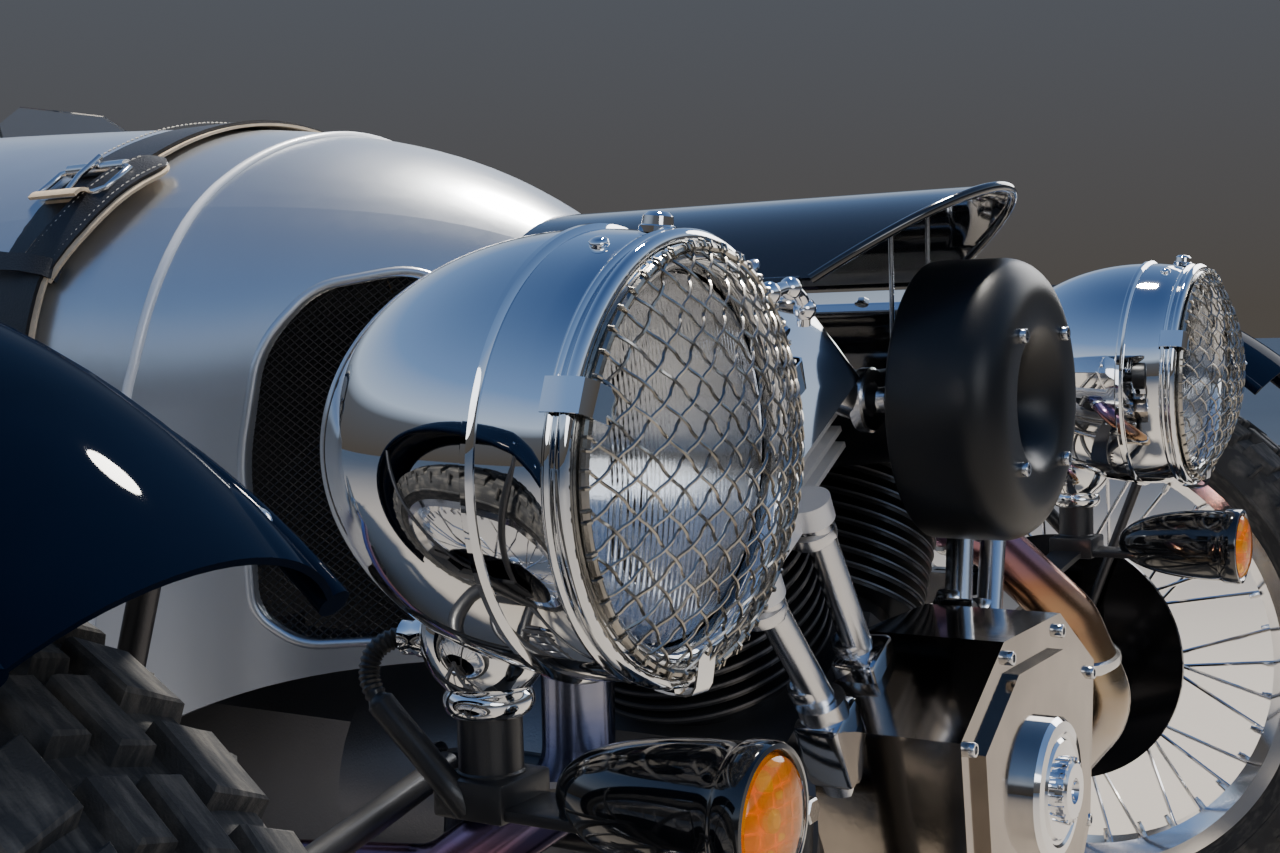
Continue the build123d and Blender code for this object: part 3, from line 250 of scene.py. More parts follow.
def chamfered(low, high, edge):
    """A block with its edges broken, from its two corners."""
    built = bmesh.new()
    bmesh.ops.create_cube(built, size=1)
    low, high = Vector(low), Vector(high)
    for v in built.verts:
        v.co = Vector([(low[i] + high[i]) / 2 + v.co[i] * (high[i] - low[i]) for i in range(3)])
    bmesh.ops.bevel(built, geom=built.edges[:], offset=edge, segments=2, profile=0.5, affect="EDGES")
    built.verts.index_update()
    form = [v.co.copy() for v in built.verts], [tuple(v.index for v in f.verts) for f in built.faces]
    built.free()
    return form


def bolt(origin, direction, across):
    """A hexagon head on its washer, across its flats in millimetres, standing on a face."""
    high = across * 0.62
    r = across / math.sqrt(3)
    washer = lathe([(0, 0), (r * 1.28, 0), (r * 1.3, across * 0.1), (r * 0.9, across * 0.16)], 24)
    head = lathe([(r * 0.98, across * 0.12), (r, across * 0.16), (r, high * 0.86), (r * 0.86, high),
                  (0, high)], 6)
    return placed(merged(washer, head), facing(origin, direction))


def socket_screw(origin, direction, wide):
    """A round head with its hexagon socket."""
    r = wide / 2
    form = lathe([(r, 0), (r, r * 0.8), (r * 0.9, r * 0.95), (r * 0.58, r * 0.95), (r * 0.55, r * 0.4),
                  (0, r * 0.35)], 18)
    return placed(form, facing(origin, direction))


turned_steel = finish("turned_steel", (0.72, 0.72, 0.72), 0.16, metal=1.0, stretch=(1, 1, 12), bump=0.05)


def bright_parts(name, forms, body="root"):
    """Plated screws, nuts and bands that belong to one body."""
    piece(name, merged(*forms), turned_steel, body)


rod_ends = []
for side in (-1, 1):
    for x, y, z, wide in ((219, 141, 422, 15), (252, 156, 221, 17)):
        for fore in (-1, 1):
            rod_ends.append(bolt(at(side * x, fore * y, z), (0, fore, 0), wide))
    for x, y, z in ((560, -38, 240), (560, -14, 262), (233, -75, 378)):
        rod_ends.append(bolt(at(side * x, y, z), (0, -1, 0), 14))
bright_parts("link_bolts", rod_ends)

# Front tyres: a bias-ply carcass with chunky block tread moulded in three staggered rows, road
# dust in the grooves. Each block is broader at its foot, with its edges slightly rounded.
def overlaid(made, share, tone):
    """Lays a tone over a finish's own colour, by as much as the share says."""
    nodes, links = made.node_tree.nodes, made.node_tree.links
    colour = nodes["Principled BSDF"].inputs["Base Color"]
    over = node(nodes, "Mix", [("B", (*tone, 1))], data_type="RGBA")
    links.new(share, over.inputs["Factor"])
    links.new(colour.links[0].from_socket, over.inputs["A"])
    links.new(over.outputs["Result"], colour)


def rubber(name, dust):
    made = finish(name, (0.03, 0.03, 0.031), 0.78, vary=0.25, mottle=26, grain=900, bump=0.35, rough_vary=0.1)
    nodes, links = made.node_tree.nodes, made.node_tree.links
    patches = node(nodes, "TexNoise", [("Scale", 34), ("Detail", 8)])
    spread = colour_ramp(nodes, ((0.46, (0, 0, 0)), (0.78, (dust, dust, dust))))
    links.new(patches.outputs["Fac"], spread.inputs["Fac"])
    overlaid(made, spread.outputs["Color"], (0.16, 0.145, 0.125))
    return made


tread_rubber = rubber("tread_rubber", 0.75)
WHEEL_X, TYRE_R, TYRE_HALF, BEAD_R, BEAD_HALF, TREAD_DEEP = 782, 330, 54, 247, 37.5, 9
HANDS = ((-1, "right"), (1, "left"))


def tread_block(turn, across_low, across_high, long, drop_low, drop_high, skew):
    """One moulded block: broader at its foot, its top following the crown."""
    rings = []
    for inset, deep in ((0, TREAD_DEEP + 3), (1.2, 1.2), (2.6, 0.0)):
        ring = []
        for across, along in ((across_low, -1), (across_high, -1), (across_high, 1), (across_low, 1)):
            low_side = across == across_low
            drop = drop_low if low_side else drop_high
            r = TYRE_R - drop - deep
            x = across + (inset if low_side else -inset)
            lean = skew * (across - (across_low + across_high) / 2)
            angle = turn + (along * (long / 2 - inset) + lean) / TYRE_R
            ring.append(Vector((r * math.cos(angle), r * math.sin(angle), x)))
        rings.append(ring)
    verts = [v for ring in rings for v in ring]
    return verts, [(8, 9, 10, 11), *walls(0, 4, 4), *walls(4, 8, 4)]


def block_tyre():
    crown = TYRE_R - TREAD_DEEP
    half = TYRE_HALF - 2
    outline = [(BEAD_R, 0), (BEAD_R, BEAD_HALF), (BEAD_R + 9, BEAD_HALF + 1), (BEAD_R + 13, BEAD_HALF + 3),
               (BEAD_R + 20, half - 6), (BEAD_R + 30, half - 2), (BEAD_R + 31, half), (BEAD_R + 34, half),
               (BEAD_R + 35, half - 0.6), (BEAD_R + 44, half), (BEAD_R + 56, half - 2), (crown - 6, half - 9),
               (crown - 2, half - 24), (crown, 0)]
    forms = [lathe([*outline, *[(r, -z) for r, z in reversed(outline[1:-1])], outline[0]], 96)]
    blocks = 44
    for place in range(blocks):
        turn = 2 * math.pi * place / blocks
        half_step = math.pi / blocks
        long = 35 + 3 * (place % 3)
        forms.append(tread_block(turn, -16, -1.5, long, 0.4, 0, 0.25))
        forms.append(tread_block(turn + half_step * 0.35, 1.5, 16, long - 5, 0, 0.4, 0.25))
        for side in (-1, 1):
            low, high = sorted((side * 20.5, side * 47))
            drops = (1.2, 8.5) if side > 0 else (8.5, 1.2)
            forms.append(tread_block(turn + half_step * (1.0 + 0.2 * side), low, high, long - 4 * (place % 2),
                                     *drops, -0.2 * side))
        for side in (-1, 1):
            rib = [(BEAD_R + 50 + 9 * k, side * (half - 0.5 + 1.5 * (k < 3) - 1.6 * k)) for k in range(3)]
            angle = turn + half_step
            forms.append(tube([(r * math.cos(angle), r * math.sin(angle), z) for r, z in rib], 2.6, 6))
    return merged(*forms)


front_tread = block_tyre()
front_wheels = [(hand, f"wheel_front_{hand}", facing(at(side * WHEEL_X, 0, TYRE_R), (side, 0, 0)))
                for side, hand in HANDS]
for hand, body, place in front_wheels:
    piece(f"tread_tyre_{hand}", placed(front_tread, place), tread_rubber, body,
          (f"tyre_front_{hand}",), sharp=28)

# Front rims: plated steel, laced with thirty-six crossed spokes to a polished hub. Each spoke
# ends in a nipple at the rim, and a valve stands between two of them. Everything inboard of the
# rim face, the brake disc with it, is overlaid near-black: partly the disc's own dark cast iron,
# partly painted shade for the inboard side of the wheels. A domed cap closes the hub.
plated_rim = finish("plated_rim", (0.8, 0.8, 0.81), 0.09, metal=1.0, rough_vary=0.04, bump=0.02)
rim_disc_and_shade = finish("rim_disc_and_shade", (0.8, 0.8, 0.81), 0.12, metal=1.0, rough_vary=0.04, bump=0.02)
nodes, links = rim_disc_and_shade.node_tree.nodes, rim_disc_and_shade.node_tree.links
# Everything inboard of DISC_FACE is overlaid near-black: partly the disc's own dark iron, partly painted
# shade inboard of the wheels.
DISC_FACE = 0.738
where, split = node(nodes, "TexCoord"), node(nodes, "SeparateXYZ")
links.new(where.outputs["Object"], split.inputs["Vector"])
inboard = node(nodes, "Math", operation="ABSOLUTE")
links.new(split.outputs["X"], inboard.inputs[0])
inboard_shade_mask = node(nodes, "Math", [(1, DISC_FACE)], operation="LESS_THAN")
links.new(inboard.outputs["Value"], inboard_shade_mask.inputs[0])
overlaid(rim_disc_and_shade, inboard_shade_mask.outputs["Value"], (0.03, 0.03, 0.033))
dress(rim_disc_and_shade, "rim_front_left", "rim_front_right")


def on_rim(r, turn, lane=0):
    """A placing inside the rim at an angle, its +Z pointing at the hub."""
    inward = Vector((-math.cos(turn), -math.sin(turn), 0)).to_track_quat("Z", "Y")
    return Matrix.Translation((r * math.cos(turn), r * math.sin(turn), lane)) @ inward.to_matrix().to_4x4()


nipple = lathe([(3.4, 0), (3.4, 9), (2.6, 11), (2.6, 14)], 8)
valve = lathe([(4, 0), (4, 18), (3, 20), (3, 34), (0, 34)], 10)
rim_fittings = [placed(nipple, on_rim(227, math.radians(i * 10), 6 if i % 2 else -6)) for i in range(36)]
rim_fittings.append(placed(valve, on_rim(226, 0.26)))
hub_cap = lathe([(30, 38), (31, 44), (29, 60), (24, 67), (16, 71), (15, 74), (0, 75)], 40)
for hand, body, place in front_wheels:
    bright_parts(f"spoke_nipples_{hand}", [placed(merged(*rim_fittings), place)], body)
    piece(f"hub_cap_{hand}", placed(hub_cap, place), plated_rim, body)

# Cycle wings: rolled aluminium sheet with a wired edge, deep navy-black two-pack paint polished
# to a mirror. Small domed rivets hold each wing to its stays.
navy_lacquer = finish("navy_lacquer", (0.002, 0.005, 0.014), 0.5, coat=0.13, vary=0.2, grain=240, bump=0.006)
navy_lacquer.node_tree.nodes["Principled BSDF"].inputs["Specular IOR Level"].default_value = 0.0
dress(navy_lacquer, "wing_left", "wing_right")
WING_Y, WING_Z, WING_R, WING_HALF, WING_CROWN = 15, 360, 362, 66, 32
WING_FROM, WING_SWEEP, WING_STEPS = -41, 146, 72
rivet = lathe([(4.2, 0), (3.9, 1.2), (2.4, 2.3), (0, 2.6)], 14)


def on_wing(side, across, r, turn):
    return at(side * WHEEL_X + across, WING_Y + r * math.sin(turn), WING_Z + r * math.cos(turn))


for side, hand in HANDS:
    turns = [math.radians(WING_FROM + WING_SWEEP * step / WING_STEPS) for step in range(WING_STEPS + 1)]
    edges = [tube([on_wing(side, across, WING_R, turn) for turn in turns], 0.0058, 12)
             for across in (-WING_HALF, WING_HALF)]
    piece(f"wing_wired_edges_{hand}", merged(*edges), navy_lacquer, f"knuckle_{hand}")
    rivets = []
    for degrees in (-36, -24.5, 26, 29):
        turn = math.radians(degrees)
        for across in (-52, 52):
            r = WING_R + WING_CROWN * (1 - (across / WING_HALF) ** 2) - 0.3
            out = (0.18 * across / 52, math.sin(turn), math.cos(turn))
            rivets.append(placed(rivet, facing(on_wing(side, across, r, turn), out)))
    bright_parts(f"wing_rivets_{hand}", rivets, f"knuckle_{hand}")

# Rear wheel and swinging arm: a road tyre with shallow cross sipes on a plated steel wheel, the
# toothed belt pulley on its left and the brake disc on its right.
road_rubber = rubber("road_rubber", 0.4)
dress(road_rubber, "tyre_rear")
dress(plated_rim, "wheel_rear")
REAR_Y, REAR_Z, PULLEY_TEETH, TYRE_SIPES = 2390, 310, 60, 72
rear_axle = facing(at(0, REAR_Y, REAR_Z), (1, 0, 0))
tooth = chamfered((111, -2.6, 111), (115, 2.6, 143), 0.5)
teeth = [placed(tooth, Matrix.Rotation(math.tau * k / PULLEY_TEETH, 4, "Z")) for k in range(PULLEY_TEETH)]
bright_parts("pulley_teeth", [placed(merged(*teeth), rear_axle)], "wheel_rear")
sipes = []
for k in range(TYRE_SIPES):
    for side in (-1, 1):
        low, high = sorted((side * 47, side * 72))
        sipe = chamfered((309.4, -1.1, low), (310.3, 1.1, high), 0.2)
        sipes.append(placed(sipe, Matrix.Rotation(math.tau * k / TYRE_SIPES + 0.02 * side, 4, "Z")))
piece("tyre_sipes", placed(merged(*sipes), rear_axle), road_rubber, "wheel_rear")
axle_nuts = []
for wide, x, spots in ((24, 177, ((REAR_Y, REAR_Z),)), (18, 184.5, ((1975, 300),)),
                       (14, 228, ((2190, 309), (2090, 560)))):
    axle_nuts += [bolt(at(side * x, y, z), (side, 0, 0), wide) for side in (-1, 1) for y, z in spots]
bright_parts("axle_nuts", axle_nuts)

# The engine, a bare air-cooled V-twin. Cast alloy case with a vapour-blasted skin, its grey
# darkened as painted shade for the shadow behind the wing and stalks; black finned barrels with
# thin alloy strips along the fin edges, a painted highlight for the light those edges catch;
# polished alloy heads, covers and cam chest.
# The cast alloy's dark grey is painted shade for the shadow behind the wing and stalks; the vapour-blasted
# grain is its own.
shade_darkened_alloy = finish("shade_darkened_alloy", (0.2, 0.2, 0.21), 0.42, metal=0.85, grain=520, bump=0.3)
barrel_black = finish("barrel_black", (0.022, 0.022, 0.024), 0.33, metal=0.2, coat=0.35, grain=900,
                      bump=0.12)
hand_polished = finish("hand_polished", (0.82, 0.82, 0.83), 0.1, metal=1.0, vary=0.05, rough_vary=0.05,
                       grain=160, stretch=(1, 1, 4), bump=0.015)
mirror_alloy = finish("mirror_alloy", (0.88, 0.88, 0.89), 0.05, metal=1.0, vary=0.03, rough_vary=0.02,
                      grain=90, bump=0.01)
dress(shade_darkened_alloy, "engine_case")
dress(barrel_black, "cylinders")
satin_alloy = finish("satin_alloy", (0.8, 0.8, 0.81), 0.34, metal=0.45, vary=0.06, grain=900, bump=0.12)
brushed_alloy = finish("brushed_alloy", (0.78, 0.78, 0.79), 0.2, metal=1.0, vary=0.05, grain=500,
                       stretch=(6, 6, 1), bump=0.06)
dress(satin_alloy, "cylinder_heads")
dress(brushed_alloy, "pushrod_tubes")
# The cam chest's brown tone is a painted reflection of the tan ground in its polish, not the alloy's own
# colour.
chest_reflection_tint = finish("chest_reflection_tint", (0.36, 0.32, 0.28), 0.09, metal=1.0, vary=0.2, mottle=14,
                     rough_vary=0.03, grain=120, bump=0.03)
dress(chest_reflection_tint, "cam_chest")
dress(mirror_alloy, "rocker_covers")
CRANK_Z = 338
BANK_LEAN = math.radians(28)


def bank_spot(side, inboard, y, up):
    """A place on a cylinder: across towards the middle, the station, and up its axis."""
    x = side * (up * math.sin(BANK_LEAN) - inboard * math.cos(BANK_LEAN))
    return at(x, y, CRANK_Z + up * math.cos(BANK_LEAN) + inboard * math.sin(BANK_LEAN))


def bank_up(side):
    return Vector((side * math.sin(BANK_LEAN), 0, math.cos(BANK_LEAN)))


FIRST_FIN, FIN_STEP, FIN_R, PORT_HIGH = 178, 11, 92.1, 288
engine_bolts, fin_edge_glints, tube_collars = [], [], []
port_collar = lathe([(13, -20), (17, -18), (17.5, -14), (17, -10), (13, -8)], 28)
foot_collar = lathe([(10.4, -5), (12.6, -4.4), (13.2, -3), (13.2, 3), (12.6, 4.4), (10.4, 5)], 28)
for side in (-1, 1):
    up = bank_up(side)
    for inboard, high in ((-58, 404), (66, 402)):
        for y in (-92, -30, 30, 92):
            engine_bolts.append(bolt(bank_spot(side, inboard, y, high + 9), up, 9))
    for inboard, high in ((-60, 352), (60, 352), (-44, 428), (40, 428)):
        engine_bolts.append(socket_screw(bank_spot(side, inboard, -98, high), (0, -1, 0), 11))
    for inboard in (0, -84):
        tube_collars.append(placed(port_collar, facing(bank_spot(side, inboard, -108, PORT_HIGH), up)))
    for inboard, high in ((-7.2, 188.7), (-75, 204.9)):
        tube_collars.append(placed(foot_collar, facing(bank_spot(side, inboard, -119, high), up)))
    for k in range(9):
        turns = [math.radians(100 + 4.5 * s) for s in range(57)]
        run = [bank_spot(side, FIN_R * math.cos(t), FIN_R * math.sin(t), FIRST_FIN + FIN_STEP * k)
               for t in turns]
        fin_edge_glints.append(tube(run, 0.0012, 4))
bright_parts("engine_bolts", engine_bolts)
piece("pushrod_collars", merged(*tube_collars), brushed_alloy, "root")
# Thin alloy strips along the fin edges: a painted highlight for the light the fin edges catch.
piece("fin_edge_glints", merged(*fin_edge_glints), shade_darkened_alloy, "root")

# Rocker end plates: polished castings on the front of each cover, their faces leaning back so that
# they catch the sky. An oil fitting with two balls lies over the top of the right one.
plates = []
PLATE_FACE = ((-64, 353), (-64, 412), (-18, 452), (5, 452), (64, 409), (71, 353))
PLATE_TOP, PLATE_HIGH, PLATE_LEAN, PLATE_CHAMFER = 452, 99, 34, 2.2
for side in (-1, 1):
    verts = [bank_spot(side, u, -97.5, a) for u, a in PLATE_FACE]
    for inset, front in ((0, -99), (PLATE_CHAMFER, -100.5)):
        for u, a in PLATE_FACE:
            lean = PLATE_LEAN * (PLATE_TOP - a) / PLATE_HIGH
            verts.append(bank_spot(side, u - math.copysign(inset, u), front - lean, a - inset * (a > 400)))
    count = len(PLATE_FACE)
    faces = [tuple(range(2 * count, 3 * count)), tuple(range(count))[::-1]]
    plates.append((verts, faces + walls(0, count, count) + walls(count, 2 * count, count)))
piece("rocker_end_plates", merged(*plates), mirror_alloy, "root", sharp=20)
elbow = smooth_run([at(-208, -122, 738), at(-192, -124, 741), at(-176, -124, 739), at(-166, -124, 731),
                    at(-162, -122, 718)], 6)
ball = lathe([(7.5 * math.sin(t), -7.5 * math.cos(t)) for t in (math.pi * k / 12 for k in range(13))], 20)
balls = [placed(ball, facing(spot, (0, 0, 1)))
         for spot in (at(-209, -122, 738), at(-186, -125, 741), at(-164, -124, 728))]
piece("rocker_oil_fitting", merged(tube(elbow, 0.0046, 12), *balls), mirror_alloy, "root")

# Cam chest: a polished cover with its chamfered rim, socket screws round the edge, a raised round
# cap with a fluted centre, and the lifter blocks above it that the pushrod tubes stand in. A
# breather boss hangs from its ear beside them, and rubber caps cover the plugs.
CHEST_FACE = ((-60, 503), (60, 503), (142, 453), (128, 330), (70, 262), (-70, 262), (-128, 330), (-142, 453))
CHEST_Z, SCREW_RING = 383, 0.9
bright_parts("chest_screws", [socket_screw(at(x * SCREW_RING, -215, CHEST_Z + (z - CHEST_Z) * SCREW_RING),
                                           (0, -1, 0), 10) for x, z in CHEST_FACE])
cap = lathe([(50, 0), (50, 9), (47, 12.5), (40, 13.5), (38, 12), (36, 12), (34, 14), (23, 15), (22, 20),
             (19, 22.5), (9, 22.5), (8, 19), (0, 19)], 72)
cap_tooth = chamfered((18, -2.2, 12), (23.6, 2.2, 21), 0.7)
cap_teeth = [placed(cap_tooth, Matrix.Rotation(math.radians(20 * k), 4, "Z")) for k in range(18)]
piece("chest_cap", placed(merged(cap, *cap_teeth), facing(at(0, -221, 390), (0, -1, 0))), mirror_alloy,
      "root")
lifters = []
lifter, lifter_foot = chamfered((-19, -17, -26), (19, 17, 26), 5), chamfered((-17, -50, -13), (17, 50, 0), 3)
for side in (-1, 1):
    for form, inboard, high in ((lifter, -8, 160), (lifter, -74, 160), (lifter_foot, -41, 148)):
        spot = bank_spot(side, inboard, -126, high)
        lifters.append(placed(form, facing(spot, bank_up(side), (0, 1, 0))))
piece("lifter_blocks", merged(*lifters), hand_polished, "root")
boss = merged(lathe([(0, 0), (22, 0), (22.6, 1.5), (22.6, 8), (21, 9.6), (9, 9.6), (9, 20), (0, 20)], 40),
              lathe([(8.4, 20), (9, 21), (9, 27), (7.6, 28.4), (4.4, 28.4), (4, 25), (0, 25)], 18))
boss_ear = tube([at(-102, -104, 674), at(-66, -119, 665)], [0.012, 0.016], 16)
boss_place = facing(at(-66, -118, 665), (0, -1, 0))
piece("breather_boss", merged(placed(boss, boss_place), boss_ear), brushed_alloy, "root")
black_hose = finish("black_hose", (0.02, 0.02, 0.021), 0.55, grain=900, bump=0.3)
plug_cap = lathe([(0, 0), (9, 0), (9, 10), (6.5, 12), (7, 30), (6, 44), (0, 46)], 16)
plugs = []
for side in (-1, 1):
    out = Vector((side * math.cos(BANK_LEAN), 0, -math.sin(BANK_LEAN)))
    plugs.append(placed(plug_cap, facing(bank_spot(side, -90, -40, 318), out)))
piece("plug_caps", merged(*plugs), black_hose, "root")

# Exhausts: seamed stainless headers, straw, bronze and blue where the heat leaves the ports, then
# the long side pipes with their perforated-core silencers in brushed steel.
def heat_tinted(name, near, far):
    made = finish(name, (0.55, 0.5, 0.45), 0.2, metal=1.0, vary=0.05, grain=260, stretch=(1, 1, 3), bump=0.04)
    nodes, links = made.node_tree.nodes, made.node_tree.links
    shader = nodes["Principled BSDF"]
    where, split = node(nodes, "TexCoord"), node(nodes, "SeparateXYZ")
    links.new(where.outputs["Object"], split.inputs["Vector"])
    mottle = node(nodes, "TexNoise", [("Scale", 7), ("Detail", 4)])
    wander = node(nodes, "Math", [(1, 0.11)], operation="MULTIPLY_ADD")
    links.new(mottle.outputs["Fac"], wander.inputs[0])
    cooler = node(nodes, "Math", [(1, -0.3)], operation="MULTIPLY_ADD")
    links.new(split.outputs["X"], cooler.inputs[0])
    links.new(split.outputs["Z"], cooler.inputs[2])
    links.new(cooler.outputs["Value"], wander.inputs[2])
    span = node(nodes, "MapRange", [("From Min", far), ("From Max", near)])
    links.new(wander.outputs["Value"], span.inputs["Value"])
    tint = colour_ramp(nodes, ((0.0, (0.5, 0.46, 0.42)), (0.2, (0.5, 0.36, 0.2)), (0.42, (0.36, 0.17, 0.1)),
                               (0.6, (0.24, 0.13, 0.22)), (0.76, (0.13, 0.17, 0.36)),
                               (0.9, (0.42, 0.42, 0.5))))
    links.new(span.outputs["Result"], tint.inputs["Fac"])
    links.new(tint.outputs["Color"], shader.inputs["Base Color"])
    return made


header_steel = heat_tinted("header_steel", 0.66, 0.3)
brushed_pipe = finish("brushed_pipe", (0.6, 0.59, 0.57), 0.24, metal=1.0, stretch=(1, 0.05, 1), grain=700,
                      bump=0.06)
dress(header_steel, "exhaust_headers")
dress(brushed_pipe, "side_pipes")
PIPE_X, PIPE_Z = 548, 332
header_band = lathe([(23.4, -6), (27, -5), (28, 0), (27, 5), (23.4, 6)], 36)
pipe_band = lathe([(26.5, -9), (30, -9), (30, 9), (26.5, 9)], 36)
bands = [placed(header_band, facing(spot, out))
         for spot, out in ((at(-216, 0, 547), (-0.84, 0, -0.54)), (at(222, -72, 543), (0.6, -0.5, -0.4)),
                           (at(-252, 10, 420), (0.1, -0.2, 1)), (at(311, -160, 420), (-0.3, -0.1, 1)))]
for side in (-1, 1):
    for y in (912, 1104, 1930):
        bands.append(placed(pipe_band, facing(at(side * PIPE_X, y, PIPE_Z), (0, 1, 0))))
        bands.append(bolt(at(side * PIPE_X, y, PIPE_Z + 31), (0, 0, 1), 8))
bright_parts("pipe_bands", bands)

# Air drum: a spun steel drum in satin black on the carburettor, its front dished in to a trumpet
# mouth with four socket screws round it. Its intake and two arms reach back to the heads.
drum_black = finish("drum_black", (0.006, 0.007, 0.009), 0.36, grain=1200, bump=0.1)
drum_black.node_tree.nodes["Principled BSDF"].inputs["Specular IOR Level"].default_value = 0.35


def arc(centre_r, centre_z, r, start, stop, steps):
    """Points of a lathe profile round a centre, from one angle to another in degrees."""
    turns = [math.radians(start + (stop - start) * k / steps) for k in range(steps + 1)]
    return [(centre_r + r * math.cos(turn), centre_z + r * math.sin(turn)) for turn in turns]


DRUM_Z, DRUM_FRONT, DRUM_LONG, DRUM_R, DRUM_ROUND = 662, -224, 76, 98.5, 27
mouth = [(52, -0.4), (46, -3), (39, -9), (32, -18), (27, -29), (24, -40), (0, -40)]
drum_body = lathe([(0, 0), *arc(DRUM_R - 3, 3, 3, -90, 0, 4),
                   *arc(DRUM_R - DRUM_ROUND, DRUM_LONG - DRUM_ROUND, DRUM_ROUND, 0, 90, 14),
                   *[(r, DRUM_LONG + z) for r, z in mouth]], 96)
drum_forms = [placed(drum_body, facing(at(0, DRUM_FRONT + DRUM_LONG, DRUM_Z), (0, -1, 0))),
              tube([at(0, -150, 655), at(0, 60, 632)], 0.034, 32)]
for side in (-1, 1):
    drum_forms.append(tube([at(0, 40, 636), at(side * 84, 40, 656)], 0.022, 24))
piece("air_drum_body", merged(*drum_forms), drum_black, "root", ("air_drum",), sharp=30)
drum_turns = [math.radians(45 + 90 * k) for k in range(4)]
bright_parts("drum_screws", [socket_screw(at(63 * math.cos(t), DRUM_FRONT, DRUM_Z + 63 * math.sin(t)),
                                          (0, -1, 0), 10) for t in drum_turns])

# Scoop: a half-round sheet over the drum, raked back at its sides and rolled over a wire along its
# front. Gloss black inside and out, held by two thin stays on the intake and three screws a side.
gloss_black = finish("gloss_black", (0.005, 0.0055, 0.007), 0.09, coat=1.0, vary=0.1, grain=300,
                     bump=0.006, rough_vary=0.02)
SCOOP_MIDDLE, SCOOP_R, SCOOP_TOP, SCOOP_RAKE = 664, 147, 811, 1.5
SCOOP_FRONT, SCOOP_BACK, SCOOP_HALF_TURN, SCOOP_THICK = -201, 159.7, 54.7, 3


def scoop_edge(turn, r):
    z = SCOOP_MIDDLE + r * math.cos(turn)
    return r * math.sin(turn), SCOOP_FRONT + SCOOP_RAKE * max(0.0, SCOOP_TOP - z), z


def scoop_turn(step, steps):
    return math.radians(-SCOOP_HALF_TURN + 2 * SCOOP_HALF_TURN * step / steps)


scoop_verts, scoop_faces = [], []
ARC_STEPS, RUN_STEPS = 48, 10
row = RUN_STEPS + 1
for r in (SCOOP_R, SCOOP_R - SCOOP_THICK):
    for i in range(ARC_STEPS + 1):
        x, front, z = scoop_edge(scoop_turn(i, ARC_STEPS), r)
        scoop_verts += [at(x, front + (SCOOP_BACK - front) * k / RUN_STEPS, z) for k in range(row)]
inner = (ARC_STEPS + 1) * row
for i in range(ARC_STEPS):
    for a in range(i * row, i * row + RUN_STEPS):
        scoop_faces += [(base + a, base + a + 1, base + a + row + 1, base + a + row) for base in (0, inner)]
    for a in (i * row, i * row + RUN_STEPS):
        scoop_faces.append((a, a + row, inner + a + row, inner + a))
for i in (0, ARC_STEPS):
    scoop_faces += [(a, a + 1, inner + a + 1, inner + a) for a in range(i * row, i * row + RUN_STEPS)]
piece("scoop_sheet", (scoop_verts, scoop_faces), gloss_black, "root", ("scoop",), sharp=50)
rolled = [at(*scoop_edge(scoop_turn(i, 64), SCOOP_R - SCOOP_THICK / 2)) for i in range(65)]
hems = [[at(side * 118.8, y, SCOOP_MIDDLE + 84) for y in range(-99, 160, 16)] for side in (-1, 1)]
piece("scoop_rolled_edge", merged(tube(rolled, 0.0036, 12), *[tube(run, 0.0026, 8) for run in hems]),
      gloss_black, "root")
scoop_screw = lathe([(6, 0), (5.6, 1.6), (3.6, 3), (0, 3.4)], 20)
fixings = []
for side in (-1, 1):
    fixings.append(tube([at(side * 34, -128, 684), at(side * 34, -128, 805)], 0.0017, 10))
    turn = math.radians(side * 50)
    for y in (-60, 60, 140):
        spot = at(SCOOP_R * math.sin(turn), y, SCOOP_MIDDLE + SCOOP_R * math.cos(turn))
        fixings.append(placed(scoop_screw, facing(spot, (math.sin(turn), 0, math.cos(turn)))))
bright_parts("scoop_fixings", fixings)

# Headlamps: spun brass shells in mirror chrome with a beaded seam, a ridged rim on the front and a
# domed nut on top. Behind the fluted glass sit a silvered reflector and its bulb.
lamp_chrome = finish("lamp_chrome", (0.86, 0.87, 0.88), 0.03, metal=1.0, vary=0.02, mottle=4,
                     rough_vary=0.02, grain=60, bump=0.006)
silvered = finish("silvered", (0.8, 0.8, 0.82), 0.12, metal=1.0, vary=0.03, rough_vary=0.05)
LAMP_X, LAMP_Y, LAMP_Z, LAMP_TILT = 475, -221, 660, math.radians(2)
BOWL_R, BEAD_BACK, BOWL_LONG = 104, 50, 196
shell = [(0, -BOWL_LONG)]
for step in range(1, 29):
    back = math.cos(math.pi * step / 56)
    shell.append((BOWL_R * math.sqrt(1 - back ** 2.1), -BEAD_BACK - (BOWL_LONG - BEAD_BACK) * back))
shell += [(103.9, -54.6), (103.1, -53.8), (104.6, -53), (106.3, -51.4), (106.3, -48.6), (104.6, -47),
          (103.1, -46.2), (103.9, -45.4), (103.6, -38), (102.6, -28), (101.2, -19), (99.4, -14.6), (96, -14)]
rim_profile = [(97, -15), (100.6, -14.6), (102.7, -13.2), (103.1, -11.4), (101.9, -9.9), (100.2, -9.3),
               (100.1, -8.5), (102.2, -7.3), (103.4, -5.6), (103.2, -3.4), (101.4, -1.5), (98.8, -0.7),
               (97.6, -1.3), (96.6, -2.5), (95.4, -2.2), (93.5, 0.1), (91, 0.7), (88.4, -0.1), (86.4, -2.6),
               (85, -6.6), (84.2, -12), (84.2, -15)]
REFLECTOR_R, REFLECTOR_BACK, REFLECTOR_DEEP = 84, -92, 75.5
reflector = [(REFLECTOR_R, -16.5)]
reflector += [(r, REFLECTOR_BACK + REFLECTOR_DEEP * (r / REFLECTOR_R) ** 2) for r in range(80, 8, -6)]
reflector += [(8, REFLECTOR_BACK), (0, REFLECTOR_BACK)]
bulb = [(0, -92), (9, -92), (9, -74), (6.5, -72), (6.5, -58), (9, -52), (9, -47), (6, -43), (0, -41.5)]
LENS_R, LENS_COLUMNS, LENS_ROWS, LENS_DOME = 83.2, 250, 26, 8.5
FLUTED_R, FLUTED_HALF, PLAIN_BAR, FLUTE_DEEP = 0.86, 62, -8, 0.26


